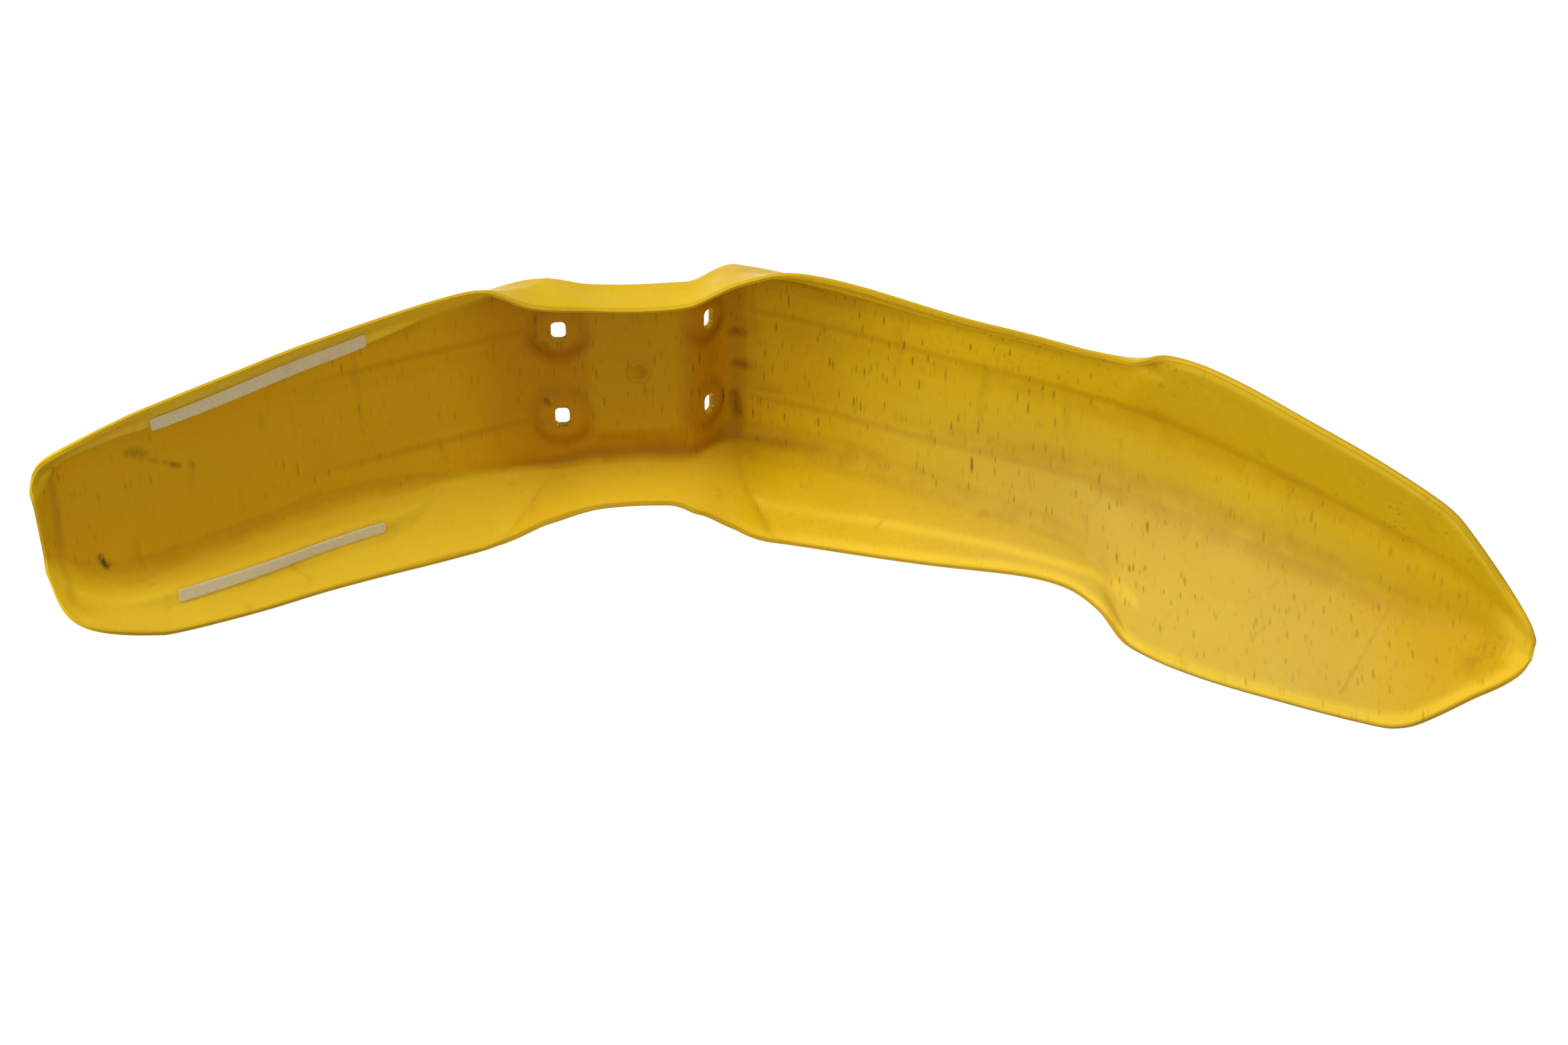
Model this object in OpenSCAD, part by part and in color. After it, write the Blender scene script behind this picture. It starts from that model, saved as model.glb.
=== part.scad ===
// Front mudguard of an off-road motorcycle, one moulded shell with two strips stuck inside its tail.
// Millimetres. +X points to the tip, +Z up. The origin is midway between the two rear slots, on the
// plane of the raised seats that meet the fork clamp. The guard is the same on both sides of y = 0.

/* [Overall] */
// Reach of the tip ahead of the rear slots
front_reach = 492; // [460:5:530]
// Reach of the tail behind the rear slots
rear_reach = 280; // [260:1:310]
// Drop of the tip below the seats
tip_drop = 320; // [300:5:340]
// Drop of the tail's web below the seats
tail_drop = 155; // [140:1:170]

/* [Widths inside the free edge] */
// Where the walls pass between the fork legs
waist_w = 130; // [120:1:136]
// Just behind the waist
hip_w = 171; // [160:1:180]
// Tail, before its corners round off
tail_w = 140; // [128:1:150]
// Just ahead of the waist
shoulder_w = 182; // [172:1:192]
// Narrowest place of the front walls
dip_w = 154; // [148:1:162]
// Widest place of the front panel
flare_w = 194; // [186:1:204]
// Front panel at the corners of the point
corner_w = 148; // [136:1:156]

/* [Depths from crown to free edge] */
// Walls at the waist
waist_depth = 47; // [42:1:54]
// Tail walls
tail_depth = 53; // [48:1:58]
// Walls at the shoulder
shoulder_depth = 73; // [66:1:80]
// Walls at the dip
dip_depth = 51; // [46:1:56]
// Front panel at the flare
flare_depth = 69; // [62:1:74]

/* [Wall] */
// Thickness of the moulding
wall = 3; // [2.5:0.1:3.5]
// Width of the raised spine along the crown
spine_w = 52; // [44:1:58]
// Height of the spine over the deck beside it
spine_step = 1.8; // [1:0.1:2.4]
// Width of the flat plate at the waist
plate_w = 118; // [114:1:122]
// Width of the tail's flat web
web_w = 100; // [92:1:106]

/* [Mounting] */
// From the rear slots to the front ones, along X
hole_row = 90; // [84:1:96]
// Between the two slots of a row
hole_spacing = 60; // [54:1:66]
// Width of a slot, along the guard
slot_w = 9; // [7:0.5:10]
// Length of a slot, across the guard
slot_l = 13; // [11:0.5:15]
// Height of a front slot's centre, at half the wall, over the seats
front_rise = 7.5; // [6:0.5:9]
// Lean of the face that carries the front slots
face_angle = 45; // [40:1:50]
// Height of the crest ahead of that face, on the inner side
crest_rise = 19; // [17:1:22]
// Height of a seat over the plate's upper side
seat_h = 0.8; // [0.5:0.1:1.2]
// Outer diameter of a seat
seat_d = 24; // [20:1:26]
// Outer diameter of the ring on the underside
ring_d = 32; // [28:1:34]
// Height of that ring
ring_h = 1; // [0.6:0.1:1.4]

/* [Strips] */
// Bare ledge on each side of a strip, where the ledge is narrowest
strip_margin = 0.1; // [0:0.1:1]
// Thickness of a strip
strip_t = 1.6; // [1:0.1:2.5]
// Distance of its tail end behind the rear slots
strip_from = 217; // [205:1:225]
// Distance of its front end behind the rear slots
strip_to = 108; // [100:1:130]

/* [Hidden] */
$fn = 32;

plate_z = -seat_h - wall;
face_start = hole_row - (front_rise - wall / 2 / cos(face_angle) - plate_z) / tan(face_angle);
face_end = face_start + (crest_rise - plate_z) / tan(face_angle);
crest_x = face_end + 7;
plate_rear = -12;
seat_gap = 0.25;
corner_r = 9;

// A place on the tail by its share of the way from the plate to the tail's end, and one on the front
// by its share of the way from the crest to the tip
function rear(share) = plate_rear - share * (rear_reach + plate_rear);
function front(share) = crest_x + share * (front_reach - crest_x);

// Smooth curve through the points of a rail, without overshoot
function span_of(p, x, i = 0) = i >= len(p) - 2 || x < p[i + 1][0] ? i : span_of(p, x, i + 1);
function rise_of(p, i) = (p[i + 1][1] - p[i][1]) / (p[i + 1][0] - p[i][0]);
function tangent_of(p, i) =
    i == 0 ? rise_of(p, 0)
    : i == len(p) - 1 ? rise_of(p, i - 1)
    : rise_of(p, i - 1) * rise_of(p, i) <= 0 ? 0
    : 2 * rise_of(p, i - 1) * rise_of(p, i) / (rise_of(p, i - 1) + rise_of(p, i));
function rail(p, x) =
    let (i = span_of(p, x),
         h = p[i + 1][0] - p[i][0],
         t = max(0, min(1, (x - p[i][0]) / h)),
         a = tangent_of(p, i) * h,
         b = tangent_of(p, i + 1) * h)
    p[i][1] * (2 * t * t * t - 3 * t * t + 1) + a * (t * t * t - 2 * t * t + t)
    + p[i + 1][1] * (3 * t * t - 2 * t * t * t) + b * (t * t * t - t * t);

// Height of the crown along the guard, on the inner side
rear_fall = plate_z + tail_drop;
front_fall = crest_rise + tip_drop;
crown = [
    [rear(1), plate_z - rear_fall],
    [rear(0.968), plate_z - 0.935 * rear_fall],
    [rear(0.86), plate_z - 0.82 * rear_fall],
    [rear(0.6), plate_z - 0.51 * rear_fall],
    [rear(0.47), plate_z - 0.355 * rear_fall],
    [rear(0.16), plate_z - 0.1 * rear_fall],
    [rear(0), plate_z],
    [face_start - 2, plate_z],
    [face_start + 2, plate_z + 2 * tan(face_angle)],
    [face_end - 2, crest_rise - 2 * tan(face_angle)],
    [face_end + 3, crest_rise],
    [front(0.02), crest_rise - 0.01 * front_fall],
    [front(0.29), crest_rise - 0.183 * front_fall],
    [front(0.57), crest_rise - 0.383 * front_fall],
    [front(0.73), crest_rise - 0.566 * front_fall],
    [front(0.88), crest_rise - 0.767 * front_fall],
    [front(0.975), crest_rise - 0.915 * front_fall],
    [front(1), -tip_drop]
];

// Half the width between the free edges
edge_half = [
    [rear(1), 0.22 * tail_w],
    [rear(0.98), 0.31 * tail_w],
    [rear(0.96), 0.355 * tail_w],
    [rear(0.93), 0.39 * tail_w],
    [rear(0.9), 0.42 * tail_w],
    [rear(0.84), 0.467 * tail_w],
    [rear(0.77), tail_w / 2],
    [rear(0.4), 0.6 * hip_w / 2 + 0.4 * tail_w / 2 + 1.5],
    [rear(0.137), hip_w / 2],
    [rear(0.1), hip_w / 2 - 1.5],
    [rear(0), (hip_w + waist_w) / 4 - 3],
    [25, waist_w / 2 + 1],
    [45, waist_w / 2],
    [64, waist_w / 2 + 0.5],
    [83, waist_w / 2 + 6],
    [102, (shoulder_w + waist_w) / 4 + 3],
    [122, shoulder_w / 2 - 2],
    [front(0.076), shoulder_w / 2],
    [front(0.36), 0.3 * shoulder_w / 2 + 0.7 * dip_w / 2 - 1],
    [front(0.47), dip_w / 2],
    [front(0.529), dip_w / 2 + 5],
    [front(0.5625), flare_w / 2 - 2.5],
    [front(0.599), flare_w / 2],
    [front(0.75), 0.51 * flare_w / 2 + 0.49 * corner_w / 2],
    [front(0.857), 0.985 * corner_w / 2],
    [front(0.885), 0.9 * corner_w / 2],
    [front(0.906), 0.78 * corner_w / 2],
    [front(0.927), 0.645 * corner_w / 2],
    [front(0.95), 0.49 * corner_w / 2],
    [front(0.974), 0.315 * corner_w / 2],
    [front(0.988), 0.2 * corner_w / 2],
    [front(1), 0.08 * corner_w / 2]
];

// Drop from the crown to the free edge
edge_depth = [
    [rear(1), 0.06 * tail_depth],
    [rear(0.98), 0.43 * tail_depth],
    [rear(0.96), 0.57 * tail_depth],
    [rear(0.93), 0.69 * tail_depth],
    [rear(0.84), 0.84 * tail_depth],
    [rear(0.77), 0.91 * tail_depth],
    [rear(0.5), tail_depth],
    [rear(0.3), 0.96 * tail_depth],
    [rear(0.12), 0.9 * tail_depth],
    [rear(0.02), 1.15 * waist_depth],
    [25, waist_depth],
    [64, waist_depth],
    [83, waist_depth + 6],
    [102, shoulder_depth],
    [front(0), 1.05 * shoulder_depth],
    [front(0.07), 0.95 * shoulder_depth],
    [front(0.3), 0.35 * shoulder_depth + 0.65 * dip_depth],
    [front(0.45), dip_depth],
    [front(0.49), dip_depth + 1],
    [front(0.5625), flare_depth - 1.5],
    [front(0.62), flare_depth],
    [front(0.857), 0.82 * flare_depth],
    [front(0.885), 0.74 * flare_depth],
    [front(0.927), 0.6 * flare_depth],
    [front(0.95), 0.5 * flare_depth],
    [front(0.975), 0.38 * flare_depth],
    [front(0.99), 0.2 * flare_depth],
    [front(1), 0.02 * flare_depth]
];

// Half the width of the plate, web or deck between the two long corners
deck_half = [
    [rear(1), 0.36 * web_w / 2],
    [rear(0.93), 0.8 * web_w / 2],
    [rear(0.84), 0.97 * web_w / 2],
    [rear(0.42), web_w / 2],
    [rear(0.3), 0.6 * web_w / 2 + 0.4 * plate_w / 2],
    [rear(0.2), 0.2 * web_w / 2 + 0.8 * plate_w / 2],
    [rear(0.13), plate_w / 2 + 1],
    [-6, plate_w / 2 + 5],
    [20, plate_w / 2 + 1],
    [45, plate_w / 2],
    [85, plate_w / 2 + 1],
    [front(0), plate_w / 2 + 1],
    [front(0.15), plate_w / 2 - 3],
    [front(0.3), plate_w / 2 - 1],
    [front(0.49), plate_w / 2 + 3],
    [front(0.54), 0.5 * plate_w / 2 + 0.43 * flare_w / 2],
    [front(0.565), 0.9 * flare_w / 2],
    [front(0.6), 0.94 * flare_w / 2],
    [front(1), flare_w]
];

// Drop of that corner below the crown, as a share of the drop to the free edge
deck_share = [
    [rear(1), 0.05],
    [front(0), 0.02],
    [front(0.15), 0.02],
    [front(0.3), 0.14],
    [front(0.39), 0.24],
    [front(0.49), 0.33],
    [front(0.54), 0.5],
    [front(0.565), 0.86],
    [front(0.6), 0.93],
    [front(1), 0.93]
];

// Two folds in each wall: their shares of the way from the long corner to the free edge, across and
// down. They form the ledge under the tail's strips and the ridge along the front walls.
fold_one_across = [
    [rear(1), 0.3],
    [rear(0.9), 0.15],
    [rear(0.73), 0.15],
    [rear(0.54), 0.21],
    [rear(0.38), 0.24],
    [rear(0.29), 0.22],
    [rear(0.22), 0.05],
    [rear(0.02), 0.08],
    [25, 0.3],
    [64, 0.3],
    [front(0), 0.44],
    [front(0.1), 0.54],
    [front(0.48), 0.42],
    [front(0.56), 0.5],
    [front(1), 0.5]
];
fold_one_down = [
    [rear(1), 0.45],
    [rear(0.85), 0.68],
    [rear(0.73), 0.68],
    [rear(0.54), 0.64],
    [rear(0.38), 0.54],
    [rear(0.29), 0.41],
    [rear(0.22), 0.06],
    [rear(0.02), 0.08],
    [25, 0.4],
    [64, 0.4],
    [front(0), 0.52],
    [front(0.1), 0.62],
    [front(0.48), 0.54],
    [front(0.56), 0.5],
    [front(1), 0.5]
];
fold_two_across = [
    [rear(1), 0.6],
    [rear(0.85), 0.52],
    [rear(0.54), 0.56],
    [rear(0.38), 0.56],
    [rear(0.29), 0.42],
    [rear(0.22), 0.2],
    [rear(0.1), 0.88],
    [rear(0.03), 0.64],
    [-3, 0.3],
    [25, 0.6],
    [64, 0.6],
    [front(0), 0.66],
    [front(0.48), 0.62],
    [front(1), 0.66]
];
fold_two_down = [
    [rear(1), 0.56],
    [rear(0.85), 0.71],
    [rear(0.73), 0.7],
    [rear(0.54), 0.61],
    [rear(0.38), 0.515],
    [rear(0.29), 0.4],
    [rear(0.22), 0.2],
    [rear(0.1), 0.88],
    [rear(0.03), 0.5],
    [-3, 0.24],
    [25, 0.62],
    [64, 0.62],
    [front(0), 0.7],
    [front(0.48), 0.68],
    [front(1), 0.66]
];

// Half the width of the spine and its step, which fade out towards the tail
spine_half = [
    [rear(1), spine_w / 2 + 1],
    [rear(0.3), spine_w / 2 + 1],
    [front(0.1), spine_w / 2],
    [front(0.57), spine_w / 2 - 2.4],
    [front(0.9), spine_w / 2 - 9],
    [front(1), 4]
];
spine_fade = [
    [rear(0.55), 0],
    [rear(0.3), 1],
    [rear(0.05), 1],
    [10, 0],
    [face_end - 3, 0],
    [face_end + 9, 1],
    [front(0.8), 1],
    [front(0.92), 0.2],
    [front(1), 0]
];

// One half of the inner section at x, from the crown to the free edge, as [y, z] points
function mix(a, b, share) = a + (b - a) * share;
function round_corner(a, corner, b, r) =
    let (p = corner + (a - corner) * min(0.45, r / norm(a - corner)),
         q = corner + (b - corner) * min(0.45, r / norm(b - corner)))
    [p, (p + 2 * corner + q) / 4, q];
function half_section(x) =
    let (top = rail(crown, x),
         edge = [rail(edge_half, x), top - rail(edge_depth, x)],
         drop = edge[1] - top,
         step = spine_step * rail(spine_fade, x) * min(1, edge[0] / 40),
         spine = min(rail(spine_half, x), 0.42 * edge[0]),
         side = min(2, 0.1 * edge[0]),
         deck = [min(rail(deck_half, x), 0.94 * edge[0]), top - step + drop * rail(deck_share, x)],
         one = [mix(deck[0], edge[0], rail(fold_one_across, x)),
                mix(deck[1], edge[1], rail(fold_one_down, x))],
         two = [mix(deck[0], edge[0], rail(fold_two_across, x)),
                mix(deck[1], edge[1], rail(fold_two_down, x))],
         inner = [spine + side, top - step],
         corner = round_corner(inner, deck, one, corner_r))
    [
        [0, top],
        [spine - side, top],
        inner,
        mix(inner, corner[0], 0.5),
        corner[0],
        corner[1],
        corner[2],
        one,
        two,
        mix(two, edge, 0.45),
        mix(two, edge, 0.8),
        edge
    ];

// Places of the sections along the guard, closer together where the shape turns
function steps(from, to, count) = [for (i = [0 : count - 1]) from + (to - from) * i / count];
places = concat(
    steps(rear(1), rear(0.93), 6),
    steps(rear(0.93), rear(0.5), 11),
    steps(rear(0.5), rear(0.36), 6),
    steps(rear(0.36), rear(0.14), 5),
    steps(rear(0.14), rear(0), 7),
    steps(rear(0), face_start - 3, 7),
    steps(face_start - 3, face_end + 3, 7),
    steps(face_end + 3, front(0.08), 4),
    steps(front(0.08), front(0.48), 12),
    steps(front(0.48), front(0.62), 14),
    steps(front(0.62), front(0.84), 6),
    steps(front(0.84), front(0.96), 8),
    steps(front(0.96), front(1), 5),
    [front(1)]
);
last = len(places) - 1;
rows = 12;

// The inner surface over its left half, its outward normals, and the outer surface a wall away
inner_half = [for (x = places) [for (p = half_section(x)) [x, p[0], p[1]]]];
function unit(v) = v / norm(v);
function turn(before, here, after) = unit(unit(here - before) + unit(after - here));
function across(i, j) =
    j == 0 ? [0, 1, 0]
    : j == rows - 1 ? unit(inner_half[i][j] - inner_half[i][j - 1])
    : turn(inner_half[i][j - 1], inner_half[i][j], inner_half[i][j + 1]);
function along(i, j) =
    i == 0 ? unit(inner_half[1][j] - inner_half[0][j])
    : i == last ? unit(inner_half[last][j] - inner_half[last - 1][j])
    : turn(inner_half[i - 1][j], inner_half[i][j], inner_half[i + 1][j]);
normals = [for (i = [0 : last]) [for (j = [0 : rows - 1]) unit(cross(along(i, j), across(i, j)))]];
outer_half = [for (i = [0 : last]) [for (j = [0 : rows - 1])
    inner_half[i][j] + wall * normals[i][j]]];
rim_half = [for (i = [0 : last])
    inner_half[i][rows - 1] + wall / 2 * normals[i][rows - 1]
    + 0.4 * wall * unit(cross(normals[i][rows - 1], along(i, rows - 1)))];

// Every section as one closed ring: inner side from right to left, rim, outer side back, rim
function mirrored(p) = [p[0], -p[1], p[2]];
function ring(i) = concat(
    [for (j = [rows - 1 : -1 : 1]) mirrored(inner_half[i][j])],
    [for (j = [0 : rows - 1]) inner_half[i][j]],
    [rim_half[i]],
    [for (j = [rows - 1 : -1 : 0]) outer_half[i][j]],
    [for (j = [1 : rows - 1]) mirrored(outer_half[i][j])],
    [mirrored(rim_half[i])]
);
side = 2 * rows - 1;
around = 2 * side + 2;
rings = [for (i = [0 : last]) each ring(i)];
function tube_faces() = [
    for (i = [0 : last - 1])
        for (k = [0 : around - 1])
            let (a = i * around + k,
                 b = i * around + (k + 1) % around,
                 c = a + around,
                 d = b + around)
            each norm(rings[a] - rings[d]) < norm(rings[b] - rings[c])
                ? [[a, d, b], [a, c, d]]
                : [[a, c, b], [b, c, d]]
];
function cap_faces(i, flip) = [
    for (k = [0 : side - 2])
        let (a = i * around + k,
             b = a + 1,
             c = i * around + 2 * side - k,
             d = c - 1)
        each flip ? [[a, c, b], [b, c, d]] : [[a, b, c], [b, d, c]],
    let (a = i * around + side - 1)
        flip ? [a, a + 2, a + 1] : [a, a + 1, a + 2],
    let (a = i * around)
        flip ? [a, a + around - 1, a + around - 2] : [a, a + around - 2, a + around - 1]
];

// The moulding before its pads and slots
module shell() {
    polyhedron(
        points = rings,
        faces = concat(tube_faces(), cap_faces(0, false), cap_faces(last, true)),
        convexity = 8
    );
}

// Places one half's work at both slots of a row
module at_row(x, z, tilt) {
    for (s = [-1, 1])
        translate([x, s * hole_spacing / 2, z])
            rotate([0, tilt, 0])
                children();
}

module rear_pad() {
    translate([0, 0, -wall / 2 - seat_h])
        cylinder(d = seat_d, h = wall / 2 + seat_h);
    translate([0, 0, plate_z - ring_h])
        cylinder(d = ring_d, h = ring_h + wall / 2);
}

// A slot with round ends, across the guard
module slot(low, high) {
    straight = slot_l - slot_w;
    for (s = [-1, 1])
        translate([0, s * straight / 2, low])
            cylinder(d = slot_w, h = high - low);
    translate([-slot_w / 2, -straight / 2, low])
        cube([slot_w, straight, high - low]);
}

// A front pad stands out by half a ring's height on each side of the wall
module front_pad() {
    translate([0, 0, -(wall + ring_h) / 2])
        cylinder(d = seat_d, h = wall + ring_h);
}

module mudguard() {
    color("gold")
        difference() {
            union() {
                shell();
                at_row(0, 0, 0) rear_pad();
                at_row(hole_row, front_rise, -face_angle) front_pad();
            }
            at_row(0, 0, 0) slot(plate_z - ring_h - 1, 1);
            at_row(hole_row, front_rise, -face_angle) slot(-wall - ring_h, wall + ring_h);
        }
}

// A strip lies along the ledge, a glue line away from it, on the inner side of the wall. Its corners
// fall on the shell's own sections, so it follows the ledge from one section to the next.
function station(x, i = 0) = places[i + 1] > x ? i : station(x, i + 1);
function fold_point(x, row) =
    let (i = station(x), share = (x - places[i]) / (places[i + 1] - places[i]))
    mix(inner_half[i][row], inner_half[i + 1][row], share);
strip_places = concat(
    [-strip_from],
    [for (x = places) if (x > 2 - strip_from && x < -strip_to - 2) x],
    [-strip_to]
);
strip_last = len(strip_places) - 1;
strip_w = min([for (x = strip_places) norm(fold_point(x, 8) - fold_point(x, 7))]) - 2 * strip_margin;
function strip_ring(x) =
    let (a = fold_point(x, 7),
         b = fold_point(x, 8),
         out = unit(b - a),
         lift = unit(cross(out, fold_point(x + 1, 7) - fold_point(x - 1, 7))))
    [for (q = [[-1, 0], [1, 0], [1, 1], [-1, 1]])
        (a + b) / 2 + out * q[0] * strip_w / 2 + lift * (seat_gap + q[1] * strip_t)];

module strip() {
    color("tan")
        polyhedron(
            points = [for (x = strip_places) each strip_ring(x)],
            faces = concat(
                [for (i = [0 : strip_last - 1]) for (k = [0 : 3])
                    let (a = 4 * i + k, b = 4 * i + (k + 1) % 4)
                    each [[a, b, a + 4], [b, b + 4, a + 4]]],
                [[2, 1, 0], [3, 2, 0]],
                [[4 * strip_last, 4 * strip_last + 1, 4 * strip_last + 2],
                 [4 * strip_last, 4 * strip_last + 2, 4 * strip_last + 3]]
            )
        );
}

module left_strip() {
    strip();
}

module right_strip() {
    mirror([0, 1, 0])
        strip();
}

mudguard();
left_strip();
right_strip();
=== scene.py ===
"""Looks of an off-road motorcycle's front mudguard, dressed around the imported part.

Sizes are in millimetres unless a comment says otherwise. The scene itself is in metres.
"""

import bmesh
import bpy
import numpy as np
from mathutils import Matrix, Vector
from mathutils.kdtree import KDTree


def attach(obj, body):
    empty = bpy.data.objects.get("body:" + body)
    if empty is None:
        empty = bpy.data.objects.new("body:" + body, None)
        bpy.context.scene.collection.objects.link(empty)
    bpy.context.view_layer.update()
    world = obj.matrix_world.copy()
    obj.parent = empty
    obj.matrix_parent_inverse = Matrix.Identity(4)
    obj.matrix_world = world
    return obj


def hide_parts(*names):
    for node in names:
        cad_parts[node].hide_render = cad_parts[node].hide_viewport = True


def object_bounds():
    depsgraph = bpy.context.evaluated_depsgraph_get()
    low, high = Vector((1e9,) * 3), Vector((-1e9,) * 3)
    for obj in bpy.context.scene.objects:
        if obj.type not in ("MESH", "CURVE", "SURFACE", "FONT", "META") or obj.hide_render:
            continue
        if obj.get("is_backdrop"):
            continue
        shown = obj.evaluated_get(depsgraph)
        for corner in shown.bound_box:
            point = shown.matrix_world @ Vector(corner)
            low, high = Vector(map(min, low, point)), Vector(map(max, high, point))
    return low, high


MM = 0.001

# Driving sizes, as in the part
FRONT_REACH = 492.0
REAR_REACH = 280.0
TIP_DROP = 320.0
TAIL_DROP = 155.0
WAIST_W = 130.0
HIP_W = 171.0
TAIL_W = 140.0
SHOULDER_W = 182.0
DIP_W = 154.0
FLARE_W = 194.0
CORNER_W = 148.0
WAIST_DEPTH = 47.0
TAIL_DEPTH = 53.0
SHOULDER_DEPTH = 73.0
DIP_DEPTH = 51.0
FLARE_DEPTH = 69.0
WALL = 3.0
SPINE_W = 52.0
SPINE_STEP = 1.8
PLATE_W = 118.0
WEB_W = 100.0
HOLE_ROW = 90.0
HOLE_SPACING = 60.0
SLOT_W = 9.0
SLOT_L = 13.0
SLOT_CORNER = 3.0
FRONT_RISE = 7.5
FACE_ANGLE = np.radians(45.0)
CREST_RISE = 19.0
GATE_X = 48.0
SEAT_H = 0.8
SEAT_D = 24.0
RING_D = 32.0
RING_H = 1.0
STRIP_W = 7.9
STRIP_T = 1.6
STRIP_FROM = 217.0
STRIP_TO = 108.0
STRIP_GAP = 0.25
# How much further the tail's lip turns down than in the part, and how far past its end it may reach
LIP_TURN = 6.5
END_ROOM = 1.6

PLATE_Z = -SEAT_H - WALL
PLATE_REAR = -12.0
FACE_START = HOLE_ROW - (FRONT_RISE - WALL / 2 / np.cos(FACE_ANGLE) - PLATE_Z) / np.tan(FACE_ANGLE)
FACE_END = FACE_START + (CREST_RISE - PLATE_Z) / np.tan(FACE_ANGLE)
CREST_X = FACE_END + 7.0
REAR_FALL = PLATE_Z + TAIL_DROP
FRONT_FALL = CREST_RISE + TIP_DROP


def rear(share):
    """A place on the tail by its share of the way from the plate to the tail's end."""
    return PLATE_REAR - share * (REAR_REACH + PLATE_REAR)


def front(share):
    """A place on the front by its share of the way from the crest to the tip."""
    return CREST_X + share * (FRONT_REACH - CREST_X)


def rail(points, x):
    """Smooth curve through a rail's points, without overshoot, at every x of an array."""
    px = np.array([p[0] for p in points], float)
    py = np.array([p[1] for p in points], float)
    rise = np.diff(py) / np.diff(px)
    tangent = np.empty(len(px))
    tangent[0] = rise[0]
    tangent[-1] = rise[-1]
    before = rise[:-1]
    after = rise[1:]
    same_way = before * after > 0
    total = np.where(same_way, before + after, 1.0)
    tangent[1:-1] = np.where(same_way, 2 * before * after / total, 0.0)
    i = np.clip(np.searchsorted(px, x, side="right") - 1, 0, len(px) - 2)
    h = px[i + 1] - px[i]
    t = np.clip((x - px[i]) / h, 0.0, 1.0)
    return (
        py[i] * (2 * t**3 - 3 * t**2 + 1)
        + tangent[i] * h * (t**3 - 2 * t**2 + t)
        + py[i + 1] * (3 * t**2 - 2 * t**3)
        + tangent[i + 1] * h * (t**3 - t**2)
    )


def smoothstep(low, high, value):
    """0 up to the low limit, 1 from the high one, and smooth between."""
    t = np.clip((value - low) / (high - low), 0.0, 1.0)
    return t * t * (3 - 2 * t)


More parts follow.
